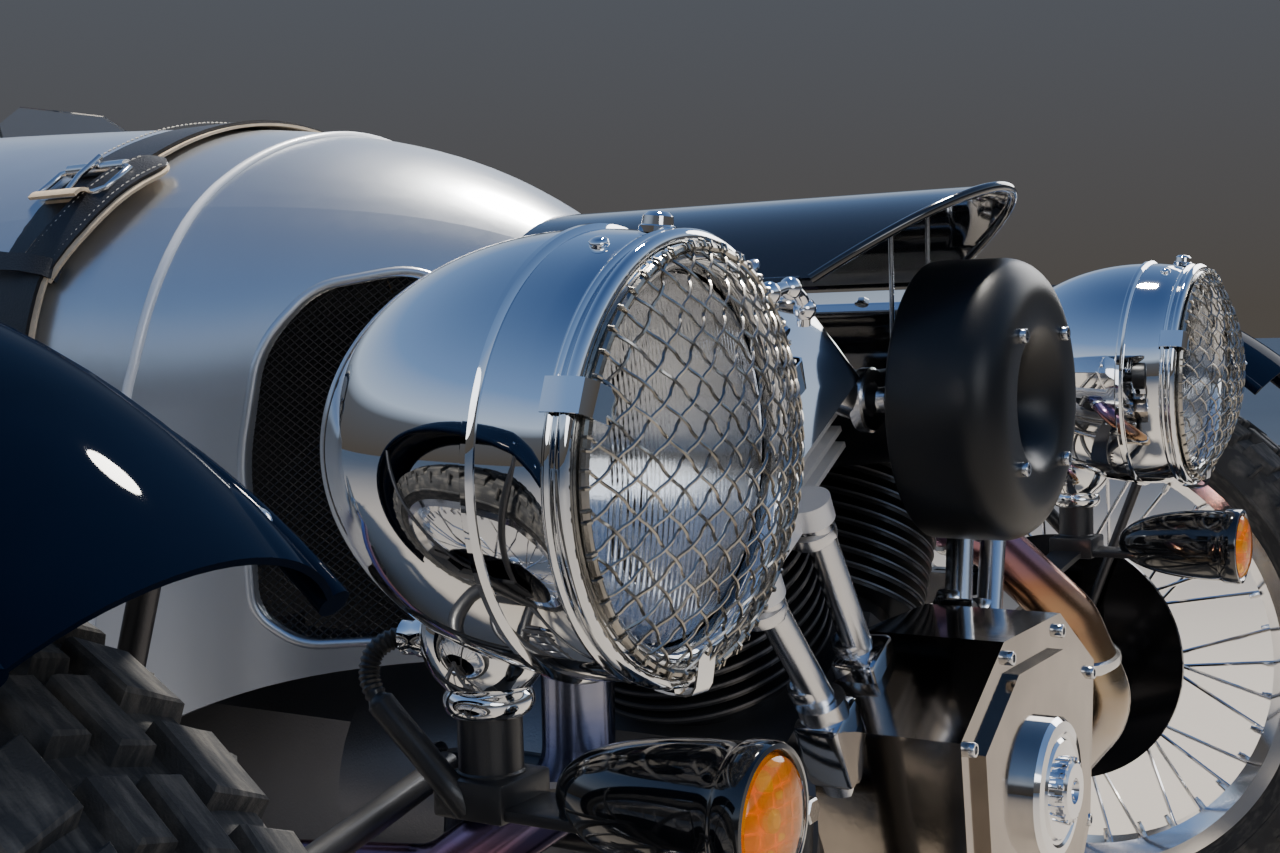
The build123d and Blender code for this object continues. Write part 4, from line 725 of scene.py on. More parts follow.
def fluted_lens():
    """The glass seen from the front: vertical flutes cut into a shallow dome, flat behind."""
    verts, faces = [], []
    for i in range(LENS_COLUMNS + 1):
        x = LENS_R * math.sin(math.pi * (i / LENS_COLUMNS - 0.5))
        half = math.sqrt(max(LENS_R ** 2 - x * x, 0.01))
        for k in range(LENS_ROWS + 1):
            y = half * (2 * k / LENS_ROWS - 1)
            reach = math.hypot(x, y) / LENS_R
            z = -2 - LENS_DOME * reach ** 2
            if reach < FLUTED_R and abs(x) < FLUTED_HALF and abs(y - PLAIN_BAR) > 2:
                lean, pitch = (x + 0.1 * y, 3.3) if y > PLAIN_BAR else (x, 4.4)
                z += FLUTE_DEEP * math.cos(2 * math.pi * lean / pitch)
            verts.append(Vector((x, y, z)))
    front = len(verts)
    verts += [Vector((v.x, v.y, -15.5)) for v in verts]
    rows = LENS_ROWS + 1
    for i in range(LENS_COLUMNS):
        for k in range(LENS_ROWS):
            a = i * rows + k
            faces.append((a, a + rows, a + rows + 1, a + 1))
            faces.append((front + a, front + a + 1, front + a + rows + 1, front + a + rows))
        for k in (0, LENS_ROWS):
            a = i * rows + k
            faces.append((a, a + rows, front + a + rows, front + a))
    return verts, faces


def glassy(name, colour, rough, index=1.5):
    made = finish(name, colour, rough, vary=0.03, rough_vary=0.01, bump=0.01)
    shader = made.node_tree.nodes["Principled BSDF"]
    shader.inputs["Transmission Weight"].default_value = 1.0
    shader.inputs["IOR"].default_value = index
    return made


lamp_glass = glassy("lamp_glass", (0.93, 0.95, 0.96), 0.02)
lens_form = fluted_lens()
lamp_way = (0, -math.cos(LAMP_TILT), -math.sin(LAMP_TILT))
lamp_places = [(side, hand, facing(at(side * LAMP_X, LAMP_Y, LAMP_Z), lamp_way)) for side, hand in HANDS]
shell_screw = lathe([(4.6, -1), (4.6, 1), (4, 2.2), (2.2, 3), (0, 3.2)], 24)
top_nut = lathe([(8.6, -1), (8.6, 2), (7.4, 2.6), (7, 6.5), (5, 8.4), (0, 9)], 24)
for side, hand, place in lamp_places:
    screws = []
    for form, degrees, r, back in ((shell_screw, 112, 103, -27), (top_nut, 90, 102.6, -21),
                                   (shell_screw, 68, 103, -27)):
        turn = math.radians(degrees)
        spot = Matrix.Translation((r * math.cos(turn), r * math.sin(turn), back))
        lift = Vector((math.cos(turn), math.sin(turn), 0.08)).to_track_quat("Z", "Y").to_matrix().to_4x4()
        screws.append(placed(form, spot @ lift))
    piece(f"lamp_shell_{hand}", placed(merged(lathe(shell, 128), *screws), place), lamp_chrome, "root",
          ("lamp_bowls",), sharp=40)
    piece(f"lamp_rim_{hand}", placed(lathe(rim_profile, 128), place), lamp_chrome, "root",
          ("lamp_rims",), sharp=50)
    piece(f"lamp_reflector_{hand}", placed(merged(lathe(reflector, 96), lathe(bulb, 32)), place), silvered,
          "root")
    piece(f"lamp_lens_{hand}", placed(lens_form, place), lamp_glass, "root",
          ("lamp_glasses",))

# Stone guards: crimped steel wire woven on the slant and domed over the glass, its ends hooked
# over a ring on the rim, with folded sheet clips that hold the ring. Some wires have browned.
guard_steel = finish("guard_steel", (0.4, 0.375, 0.33), 0.22, metal=1.0, vary=0.3, mottle=38, grain=900,
                     bump=0.05)
WIRE_R, WIRE_STEP, GUARD_R, GUARD_DOME, GUARD_RING = 0.8, 10.6, 93.5, 30, 95


def ribbon(points, across, wide, thick):
    """A flat strip along a run of points, its width along one direction."""
    points = [Vector(p) for p in points]
    way = Vector(across).normalized()
    verts, faces = [], []
    last = len(points) - 1
    for i, point in enumerate(points):
        along = (points[min(i + 1, last)] - points[max(i - 1, 0)]).normalized()
        up = along.cross(way).normalized()
        for a, b in ((-1, -1), (1, -1), (1, 1), (-1, 1)):
            verts.append(point + way * (a * wide / 2) + up * (b * thick / 2))
    for i in range(last):
        faces += walls(4 * i, 4 * i + 4, 4)
    return verts, faces + [(3, 2, 1, 0), tuple(4 * last + k for k in range(4))]


def woven_guard():
    chance = random.Random(11)
    ring = [(GUARD_RING * math.cos(t), GUARD_RING * math.sin(t), 2.6)
            for t in (math.tau * k / 96 for k in range(96))]
    forms = [tube(ring, 2.2, 8, closed=True)]
    rows = int(GUARD_R / WIRE_STEP)
    for slant, level in ((math.pi / 4, 1), (-math.pi / 4, -1)):
        for row in range(-rows, rows + 1):
            offset = row * WIRE_STEP + chance.uniform(-0.5, 0.5)
            half = math.sqrt(GUARD_R ** 2 - offset ** 2)
            steps = max(8, int(2 * half / 1.33))
            run = []
            for step in range(steps + 1):
                s = half * (2 * step / steps - 1)
                weave = math.tanh(1.7 * math.cos(math.pi * s / WIRE_STEP))
                crimp = weave * (WIRE_R + 0.1) * level * (-1) ** row
                rise = GUARD_DOME * max(0.0, 1 - (s * s + offset * offset) / GUARD_R ** 2) ** 0.9
                run.append((s, offset, 3.4 + rise + crimp))
            for end in (0, -1):
                s, o, z = run[end]
                reach = math.hypot(s, o)
                hook = [(s * r / reach, o * r / reach, h) for r, h in ((95.4, 5.6), (97.6, 4.6), (98.2, 2.4))]
                run = hook[::-1] + run if end == 0 else run + hook
            swing = Matrix.Rotation(slant, 4, "Z")
            forms.append(placed(tube(run, WIRE_R, 5), swing))
    return merged(*forms)


guard_form = woven_guard()
for side, hand, place in lamp_places:
    clips = []
    for degrees in (161, 268, 20):
        turn = math.radians(degrees if side < 0 else 180 - degrees)
        out, along = Vector((math.cos(turn), math.sin(turn), 0)), Vector((-math.sin(turn), math.cos(turn), 0))
        fold = [(84, 7.6), (96, 6.6), (101, 6), (104.6, 4), (105.6, 1), (105.4, -8), (104.4, -15)]
        clips.append(ribbon([out * r + Vector((0, 0, z)) for r, z in fold], along, 15, 1.1))
    piece(f"stone_guard_{hand}", placed(guard_form, place), guard_steel, "root",
          ("lamp_guards",))
    piece(f"guard_clips_{hand}", placed(merged(*clips), place), lamp_chrome, "root", sharp=30)

# Lamp stalks: a chromed half-ball under each bowl on a fat collar, a black post, and a clamp block
# bolted to a folded steel arm from the frame. A ribbed conduit brings the wires round outside.
conduit_black = finish("conduit_black", (0.015, 0.015, 0.016), 0.42, coat=0.2, grain=700, bump=0.15)
CUP_Z, CUP_R, STALK_Y = 572, 33, -100
cup_turns = [math.radians(80 - 6 * k) for k in range(21)]
cup = [(0, 605), *[(CUP_R * math.cos(t), CUP_Z + CUP_R * math.sin(t)) for t in cup_turns], (20, 545),
       (0, 545)]
collar = [(13, 531), *arc(14.6, 540, 8.2, -80, 80, 14), (13, 549)]
post = [(0, 502), (17.2, 502), (17.2, 505), (16.2, 506), (16.2, 532), (0, 533)]
ferrule = lathe([(8.4, -8), (10.2, -7), (10.2, 3), (9, 5), (9, 12), (8, 13)], 28)
conduit_spots = ((481, -62, 569), (485, -50, 568), (491, -42, 562), (495, -41, 552), (497, -46, 542),
                 (497, -58, 530), (495, -74, 514), (494, -89, 499), (490, -96, 488))
for side, hand in HANDS:
    foot = facing(at(side * LAMP_X, STALK_Y, 0), (0, 0, 1), (0, 1, 0))
    piece(f"lamp_cup_{hand}", placed(merged(lathe(cup, 64), lathe(collar, 64)), foot), lamp_chrome, "root",
          ("lamp_brackets",), sharp=40)
    arm_from, arm_to = at(side * LAMP_X, STALK_Y, 494), at(side * 211, -60, 423)
    reach = arm_to - arm_from
    level = Vector((0, 1, 0))
    arm = [arm_from, arm_from + reach * 0.06, arm_from + reach * 0.94, arm_to]
    web = [p + Vector((0, 0.013, -0.007)) for p in arm]
    stalk_forms = [placed(lathe(post, 48), foot),
                   placed(chamfered((-21, -21, 484), (21, 21, 504), 2.2), foot),
                   ribbon(arm, level, 0.028, 0.005), ribbon(web, reach.cross(level), 0.018, 0.004),
                   placed(chamfered((-19, -99, 486), (19, 0, 492), 1.5), foot)]
    piece(f"lamp_stalk_{hand}", merged(*stalk_forms), powder_black, "root", sharp=30)
    bright_parts(f"stalk_bolts_{hand}", [bolt(at(side * LAMP_X, -185, 485.8), (0, 0, -1), 10),
                                         bolt(at(side * 240, -64, 434), (0, -0.3, 1), 10)])
    route = smooth_run([at(side * x, y, z) for x, y, z in conduit_spots], 8)
    ribs = [0.0072 if k > 34 else 0.0046 if k % 2 else 0.0056 for k in range(len(route))]
    piece(f"lamp_conduit_{hand}", tube(route, ribs, 14), conduit_black, "root", sharp=60)
    ferrule_place = facing(at(side * 480, -66, 569), (side * 0.14, 0.98, -0.05))
    piece(f"conduit_ferrule_{hand}", placed(ferrule, ferrule_place), lamp_chrome, "root")

# Indicators: bullet shells in gloss black with a raised front ring, amber lenses over a faceted
# reflector. Each stands on the plate under its headlamp.
amber_glass = glassy("amber_glass", (1.0, 0.62, 0.05), 0.05)
amber_reflector_glow = finish("amber_reflector_glow", (0.95, 0.52, 0.02), 0.25, vary=0.2, mottle=90)
reflector_shader = amber_reflector_glow.node_tree.nodes["Principled BSDF"]
# The reflector's emission is a painted glow for sunlight lighting the amber behind the lens; the indicators
# are not switched on.
reflector_shader.inputs["Emission Color"].default_value = (1, 0.46, 0.0, 1)
reflector_shader.inputs["Emission Strength"].default_value = 0.22
INDICATOR_Y, INDICATOR_Z, FACET, FACET_STEP, FACETS_R = -257, 500, 7, 7.4, 3.3
bullet = [(0, -115)]
bullet += [(33 * math.sin(t) ** 0.86, -26 - 89 * math.cos(t))
           for t in (math.radians(4 + 4.3 * k) for k in range(21))]
bullet += [(33.2, -18), (34, -16.5), (35.2, -14), (35.2, -3), (34.2, -1), (32, -0.6), (30.4, -2), (29.4, -6),
           (28.9, -12)]
amber_dome = lathe([(28.6, -12), (28.6, -1), (26, 1.6), (20, 3.8), (11, 5.2), (0, 5.6), (0, -11.9),
                    (28.6, -12)], 48)
for side, hand in HANDS:
    place = facing(at(side * LAMP_X, INDICATOR_Y, INDICATOR_Z), (0, -1, 0))
    piece(f"indicator_shell_{hand}", placed(lathe(bullet, 72), place), gloss_black, "root",
          ("indicators",), sharp=40)
    piece(f"indicator_lens_{hand}", placed(amber_dome, place), amber_glass, "root",
          ("indicator_lenses",))
    chance = random.Random(5)
    cells = []
    for row in range(-3, 4):
        for line in range(-3, 4):
            if math.hypot(row, line) < FACETS_R:
                x, y = row * FACET_STEP - FACET / 2, line * FACET_STEP - FACET / 2
                cell = chamfered((x, y, -18), (x + FACET, y + FACET, -13.4), 1.6)
                tip = Matrix.Rotation(chance.uniform(-0.3, 0.3), 4, "X")
                tip = tip @ Matrix.Rotation(chance.uniform(-0.3, 0.3), 4, "Y")
                about = Matrix.Translation((0, 0, -16)) @ tip @ Matrix.Translation((0, 0, 16))
                cells.append(placed(cell, about))
    cells.append(lathe([(5, -14), (5, -9), (3, -7), (0, -6.6)], 16))
    cells.append(lathe([(0, -19), (28, -19), (28, -20), (0, -20)], 40))
    piece(f"indicator_reflector_{hand}", placed(merged(*cells), place), amber_reflector_glow, "root",
          sharp=10)

# Bonnet cowl: beaten aluminium in satin silver two-pack, one smooth sheet with a piped seam over it
# and a rolled lip round each side opening. Small slotted turn-fasteners hold its lower edges.
silver_satin = finish("silver_satin", (0.58, 0.61, 0.65), 0.3, metal=0.9, coat=0.2, vary=0.04, mottle=5,
                      rough_vary=0.03, grain=2600, bump=0.03)
silver_bright = finish("silver_bright", (0.8, 0.82, 0.85), 0.4, metal=0.25, coat=0.3, vary=0.04,
                       grain=1800, bump=0.02)
dress(silver_satin, "cowl")
COWL_MIDDLE_Z = 560


def skin_of(name):
    """The surface of a carried-over node, for the pieces that lie on it."""
    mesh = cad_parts[name].data
    return BVHTree.FromPolygons([v.co for v in mesh.vertices], [tuple(p.vertices) for p in mesh.polygons])


cowl_skin, tub_skin = skin_of("cowl"), skin_of("body_shell")


def around(skin, y, degrees, lift=0.0):
    """A spot on a barrel-shaped skin at a station, by its angle from the top, and the way out."""
    turn = math.radians(degrees)
    out = Vector((math.sin(turn), 0, math.cos(turn)))
    centre = at(0, y, COWL_MIDDLE_Z)
    spot, normal = skin.ray_cast(centre + out * 0.9, -out)[:2]
    if normal.dot(out) < 0:
        normal = -normal
    return spot + normal * (lift / 1000), normal


half_seam = [(8, 386), (15, 392), (24, 399), (32, 404), (45, 406), (57, 411), (66, 420), (90, 444),
             (118, 474)]
seam = [(-a, y, 0) for a, y in reversed(half_seam)] + [(0, 385, 0)] + [(a, y, 0) for a, y in half_seam]
seam_run = [around(cowl_skin, spot.y, spot.x, -1.0)[0] for spot in smooth_run(seam, 8)]
piece("cowl_seam_bead", tube(seam_run, 0.0047, 12), silver_bright, "root")
SIDE_OPENING = ((186, 500, 20), (186, 735, 40), (227, 767, 45), (290, 754, 40), (319, 712, 100),
                (332, 628, 200), (330, 510, 36), (300, 486, 40), (210, 486, 30))


def rounded_outline(corners, grow, per_corner=7):
    """A closed outline with its corners rounded by their own radii, moved outward by a little."""
    run = []
    count = len(corners)
    for i, (y, z, r) in enumerate(corners):
        here = Vector((y, z))
        to_last = Vector(corners[i - 1][:2]) - here
        to_next = Vector(corners[(i + 1) % count][:2]) - here
        opening = to_last.angle(to_next)
        back = min(r / math.tan(opening / 2), 0.48 * to_last.length, 0.48 * to_next.length)
        a, b = here + to_last.normalized() * back, here + to_next.normalized() * back
        for k in range(per_corner + 1):
            t = k / per_corner
            run.append(a * (1 - t) ** 2 + here * (2 * t * (1 - t)) + b * t * t)
    middle = sum(run, Vector((0, 0))) / len(run)
    return [p + (p - middle).normalized() * grow for p in run]


def struck(skin, start, way):
    """Where a straight line first meets a skin."""
    return skin.ray_cast(start, Vector(way))[0]


for side, hand in HANDS:
    lip = [struck(cowl_skin, at(side * 700, p.x, p.y), (-side, 0, 0)) - Vector((side * 0.0026, 0, 0))
           for p in rounded_outline(SIDE_OPENING, 3.2)]
    piece(f"cowl_lip_{hand}", tube(lip, 0.0042, 12, closed=True), silver_satin, "root")
button = merged(lathe([(8, -1), (8, 0.8), (6.8, 1.6), (6.4, 1.2), (0, 1.6)], 24),
                chamfered((-4.6, -0.7, 1), (4.6, 0.7, 2.3), 0.3))
fasteners = [placed(button, facing(*around(cowl_skin, y, side * degrees), (0, 1, 0.2))) for side in (-1, 1)
             for y, degrees in ((575, 104), (690, 108), (820, 112), (925, 112), (925, 60), (925, 20))]
bright_parts("cowl_fasteners", fasteners)

# Cowl grilles: black diamond mesh of flattened wire, pressed to the cowl's curve behind each side
# opening and riveted to its inside.
mesh_black = finish("mesh_black", (0.006, 0.006, 0.008), 0.5, grain=1800, bump=0.1)
grille_skin = skin_of("cowl_grilles")
MESH_STEP, MESH_WIRE, MESH_Y, MESH_Z, MESH_ROWS = 4.4, 0.00062, 258, 622, 94
MESH_FRONT, MESH_BACK, MESH_LOW, MESH_HIGH = 178, 341, 478, 775
for side, hand in HANDS:
    wires = []
    for slant in (-1, 1):
        for row in range(-MESH_ROWS, MESH_ROWS + 1):
            runs = [[]]
            for step in range(-36, 37):
                along, aside = step * 6.5, row * MESH_STEP
                y = MESH_Y + (along - slant * aside) * math.sqrt(0.5)
                z = MESH_Z + (slant * along + aside) * math.sqrt(0.5)
                if not (MESH_FRONT < y < MESH_BACK and MESH_LOW < z < MESH_HIGH):
                    continue
                spot = struck(grille_skin, at(side * 700, y, z), (-side, 0, 0))
                if spot is None or abs(spot.x) < 0.062:
                    runs.append([])
                    continue
                runs[-1].append(spot + Vector((side * 0.0004 * slant, 0, 0)))
            wires += [tube(run, MESH_WIRE, 4) for run in runs if len(run) > 2]
    piece(f"grille_mesh_{hand}", merged(*wires), mesh_black, "root", ("cowl_grilles",),
          sharp=60)

# Bonnet strap: black bridle leather with two rows of pale stitching on a tan backing, drawn over
# the cowl through a roller buckle on its right and screwed down low at both ends. Its end comes back
# through the buckle, stands off in a loop and runs on under the keeper as a pointed tongue.
hide_black = finish("hide_black", (0.007, 0.008, 0.012), 0.46, vary=0.3, mottle=40, grain=620, bump=0.5)
tan_backing = finish("tan_backing", (0.6, 0.47, 0.32), 0.7, vary=0.15, mottle=60, grain=900, bump=0.3)
thread = finish("pale_thread", (0.62, 0.58, 0.5), 0.75, vary=0.2, grain=3000, bump=0.4)
STRAP_WIDE, STRAP_Y, STRAP_BACK, STRAP_BACK_BY = 66, 506, 26, 50
strap_angles = [-112 + 224 * k / 120 for k in range(121)]


def strap_y(degrees):
    """The strap's station: straight over the top, drawn back a little on its way down."""
    return STRAP_Y + STRAP_BACK * min(1.0, abs(degrees) / STRAP_BACK_BY) ** 2


def strap_layer(lift, wide, thick):
    run = [around(cowl_skin, strap_y(a), a, lift)[0] for a in strap_angles]
    return ribbon(run, (0, 1, 0), wide / 1000, thick / 1000)


def stitches_along(run, out):
    """Short raised threads, one after another along a run."""
    forms = []
    travelled = 0.0
    for a, b in zip(run, run[1:]):
        way = b - a
        while travelled < way.length:
            start = a + way.normalized() * travelled
            end = start + way.normalized() * 0.0034
            forms.append(tube([start, (start + end) / 2 + out * 0.0003, end], [0.0005, 0.0008, 0.0005], 5))
            travelled += 0.0052
        travelled -= way.length
    return forms


piece("strap_backing", strap_layer(1.2, STRAP_WIDE + 12, 2.2), tan_backing, "root", ("cowl_strap",),
      sharp=60)
piece("strap_hide", strap_layer(3.9, STRAP_WIDE, 3.4), hide_black, "root", sharp=60)
STITCH_INSET, ROLLER_AT = 5, -40
stitches = []
for offset in (-STRAP_WIDE / 2 + STITCH_INSET, STRAP_WIDE / 2 - STITCH_INSET):
    for part in ([a for a in strap_angles if a <= ROLLER_AT - 10],
                 [a for a in strap_angles if a >= ROLLER_AT + 10]):
        run = [around(cowl_skin, strap_y(a) + offset, a, 5.8)[0] for a in part]
        stitches += stitches_along(run, Vector((0, 0, 1)))
tongue_spots = smooth_run([(-48.6, 512, 9), (-45, 504, 11.5), (-41, 494, 14), (-34.5, 481, 16),
                           (-29.5, 471, 14), (-26, 464, 11)], 5)
tongue_run = [around(cowl_skin, y, a, lift)[0] for a, y, lift in tongue_spots]
across_tongue = Vector((0, 1, 0.35))
last = len(tongue_run) - 1
for name, wide, thick, drop, made, kind in (
        ("strap_tongue", 0.034, 0.0034, 0, hide_black, "leather"),
        ("strap_tongue_backing", 0.041, 0.0026, 0.0031, tan_backing, "trim")):
    form = ribbon([p - Vector((0, 0, drop)) for p in tongue_run], across_tongue, wide, thick)
    for k in range(last - 4, last + 1):
        ring = range(4 * k, 4 * k + 4)
        middle = sum((form[0][i] for i in ring), Vector()) / 4
        narrow = math.sqrt(max(0.03, 1 - ((k - last + 5) / 5) ** 2))
        for i in ring:
            form[0][i] = middle + (form[0][i] - middle) * narrow
    piece(name, form, made, "root", sharp=60)
for offset in (-0.0125, 0.0125):
    beside = across_tongue.normalized() * offset
    run = [p + beside + Vector((0, 0, 0.0018)) for p in tongue_run[:-3]]
    stitches += stitches_along(run, Vector((-0.4, 0, 0.9)))
piece("strap_stitching", merged(*stitches), thread, "root", sharp=80)
fold = []
fold_centre, fold_out = around(cowl_skin, strap_y(-38), -38, 10)
fold_up = fold_out.cross(Vector((0, 1, 0))).normalized()
for k in range(15):
    turn = math.radians(-100 + 200 * k / 14)
    fold.append(fold_centre + fold_out * (0.011 * math.sin(turn)) - fold_up * (0.012 * math.cos(turn)))
piece("strap_fold", ribbon(fold, (0, 1, 0), 0.056, 0.003), tan_backing, "root", sharp=60)
buckle = []
low_spot, buckle_out = around(cowl_skin, strap_y(-36), -36, 11)
high_spot = around(cowl_skin, strap_y(-30), -30, 11)[0]
reach = Vector((0, 0.041, 0))
corners = [low_spot - reach, high_spot - reach, high_spot + reach, low_spot + reach]
frame_run = [a.lerp(b, share) for a, b in zip(corners, corners[1:] + corners[:1])
             for share in (0.12, 0.5, 0.88)]
buckle.append(tube(frame_run, 0.0034, 14, closed=True))
buckle.append(tube([high_spot - reach * 0.84, high_spot + reach * 0.84], 0.0056, 20))
buckle.append(tube([low_spot + buckle_out * 0.003, low_spot.lerp(high_spot, 0.5) + buckle_out * 0.007,
                    high_spot + buckle_out * 0.0075 + (high_spot - low_spot) * 0.2], 0.0028, 12))
piece("strap_buckle", merged(*buckle), turned_steel, "root", sharp=60)
KEEPER_AT, ANCHOR_AT = -48, 109
keeper_spots = ((-37, 3), (-37.5, 9), (-33, 14), (-10, 14.5), (10, 11), (33, 9.6), (37.5, 7), (37, 3))
keeper_run = [around(cowl_skin, strap_y(KEEPER_AT) + dy, KEEPER_AT, h)[0] for dy, h in keeper_spots]
keeper_across = around(cowl_skin, strap_y(KEEPER_AT), KEEPER_AT)[1].cross(Vector((0, 1, 0)))
piece("strap_keeper", ribbon(keeper_run, keeper_across, 0.016, 0.0026), hide_black, "root",
      sharp=60)
anchor = merged(chamfered((-20, -9, 0), (20, 9, 2.2), 0.8),
                lathe([(5, 2), (4.6, 3.4), (3, 4.4), (0, 4.8)], 20))
eyelet = lathe([(2.6, 0), (3.6, 0.3), (3.4, 0.9), (2.4, 0.6)], 16)
fittings = [placed(anchor, facing(*around(cowl_skin, strap_y(ANCHOR_AT), side * ANCHOR_AT, 5.6), (0, 0, 1)))
            for side in (-1, 1)]
fittings += [placed(eyelet, facing(*around(cowl_skin, strap_y(a), a, 5.6))) for a in (80, 76, 72, 68)]
bright_parts("strap_fittings", fittings)

# Tub and barrel tail: satin silver aluminium over a steel frame, with a rubber welt where the bonnet
# meets it and a row of countersunk rivets low on each flank. The boot lid has a T-handle.
dress(silver_satin, "body_shell", "boot_lid")
# The floor pan takes the same alloy, its grey darkened as painted shade.
dress(shade_darkened_alloy, "floor_pan")
welt_rubber = finish("welt_rubber", (0.012, 0.012, 0.013), 0.6, grain=900, bump=0.25)
welt = [around(cowl_skin, 957, -122 + 4 * k, -0.6)[0] for k in range(62)]
piece("scuttle_welt", tube(welt, 0.0032, 10), welt_rubber, "root")
flush_rivet = lathe([(4, -0.6), (3.8, 0.5), (2.2, 1.1), (0, 1.3)], 14)
body_rivets = []
for side in (-1, 1):
    for step in range(15):
        spot = struck(tub_skin, at(side * 800, 1010 + 58 * step, 250), (-side, 0, 0))
        body_rivets.append(placed(flush_rivet, facing(spot, (side, 0, 0))))
    for degrees in range(20, 110, 18):
        body_rivets.append(placed(flush_rivet, facing(*around(tub_skin, 975, side * degrees))))
piece("body_rivets", merged(*body_rivets), silver_bright, "root")
handle_spot, handle_out = around(skin_of("boot_lid"), 1985, 0)
handle = merged(lathe([(16, 0), (16, 1.6), (13, 3), (9, 4), (7, 5), (6, 16), (8, 18), (8, 24), (6, 26),
                       (0, 26.5)], 32),
                placed(lathe([(0, -34), (4, -33.5), (6.4, -30), (5.4, 0), (6.4, 30), (4, 33.5), (0, 34)], 20),
                       Matrix.Translation((0, 0, 22)) @ Matrix.Rotation(math.pi / 2, 4, "Y")))
piece("boot_handle", placed(handle, facing(handle_spot, handle_out, (0, 1, 0))), lamp_chrome, "boot_lid")

# Cockpit coaming: a stuffed hide roll laced over the cut edge of the opening, with a row of pale
# stitches along its inner side.
COCKPIT = ((-412, 1015, 120), (412, 1015, 120), (412, 1740, 120), (-412, 1740, 120))
COCKPIT_MIDDLE = 1377


def round_box(corners, grow, per_corner=10, per_side=16):
    run = []
    for i, (x, y, r) in enumerate(corners):
        sx, sy = math.copysign(1, x), math.copysign(1, y - COCKPIT_MIDDLE)
        centre = Vector((x - sx * r, y - sy * r))
        first = math.atan2(sy, sx) - math.pi / 4
        for k in range(per_corner + 1):
            turn = first + math.pi / 2 * k / per_corner
            run.append(centre + Vector((math.cos(turn), math.sin(turn))) * (r + grow))
        nx, ny, nr = corners[(i + 1) % len(corners)]
        turn = first + math.pi / 2
        corner = Vector((nx - math.copysign(nr, nx), ny - math.copysign(nr, ny - COCKPIT_MIDDLE)))
        end = corner + Vector((math.cos(turn), math.sin(turn))) * (nr + grow)
        run += [run[-1].lerp(end, k / per_side) for k in range(1, per_side)]
    return run


coaming = [struck(tub_skin, at(p.x, p.y, 1200), (0, 0, -1)) + Vector((0, 0, 0.004))
           for p in round_box(COCKPIT, 7)]
piece("cockpit_coaming", tube(coaming, 0.0115, 14, closed=True), hide_black, "root", sharp=80)
lacing = []
for a, b in zip(coaming[-1:] + coaming[:-1], coaming):
    way = (b - a).normalized()
    inward = way.cross(Vector((0, 0, 1))).normalized()
    for share in (0.0, 0.33, 0.66):
        spot = a.lerp(b, share)
        side = -1 if inward.dot(spot - at(0, COCKPIT_MIDDLE, 800)) > 0 else 1
        stitch = spot + inward * (side * 0.0085) + Vector((0, 0, 0.0078))
        thread_run = [stitch - way * 0.0026, stitch + Vector((0, 0, 0.0004)), stitch + way * 0.0026]
        lacing.append(tube(thread_run, [0.0004, 0.0008, 0.0004], 5))
piece("coaming_stitches", merged(*lacing), thread, "root", sharp=80)

# Seats: two stuffed hide pads, the squab pleated in sewn channels with a piped edge. The filling
# swells between the seams, so each pad is simulated under pressure and its pleats sewn in after.
hide_seat = finish("hide_seat", (0.05, 0.026, 0.014), 0.42, vary=0.2, mottle=30, grain=520, bump=0.45,
                   sheen=0.15)
SEAT_INNER, SEAT_OUTER = 96, 452
PLEATS, PLEATED, PLEAT_EDGE, PLEAT_DEEP = 7, 0.4, 0.03, 0.0065


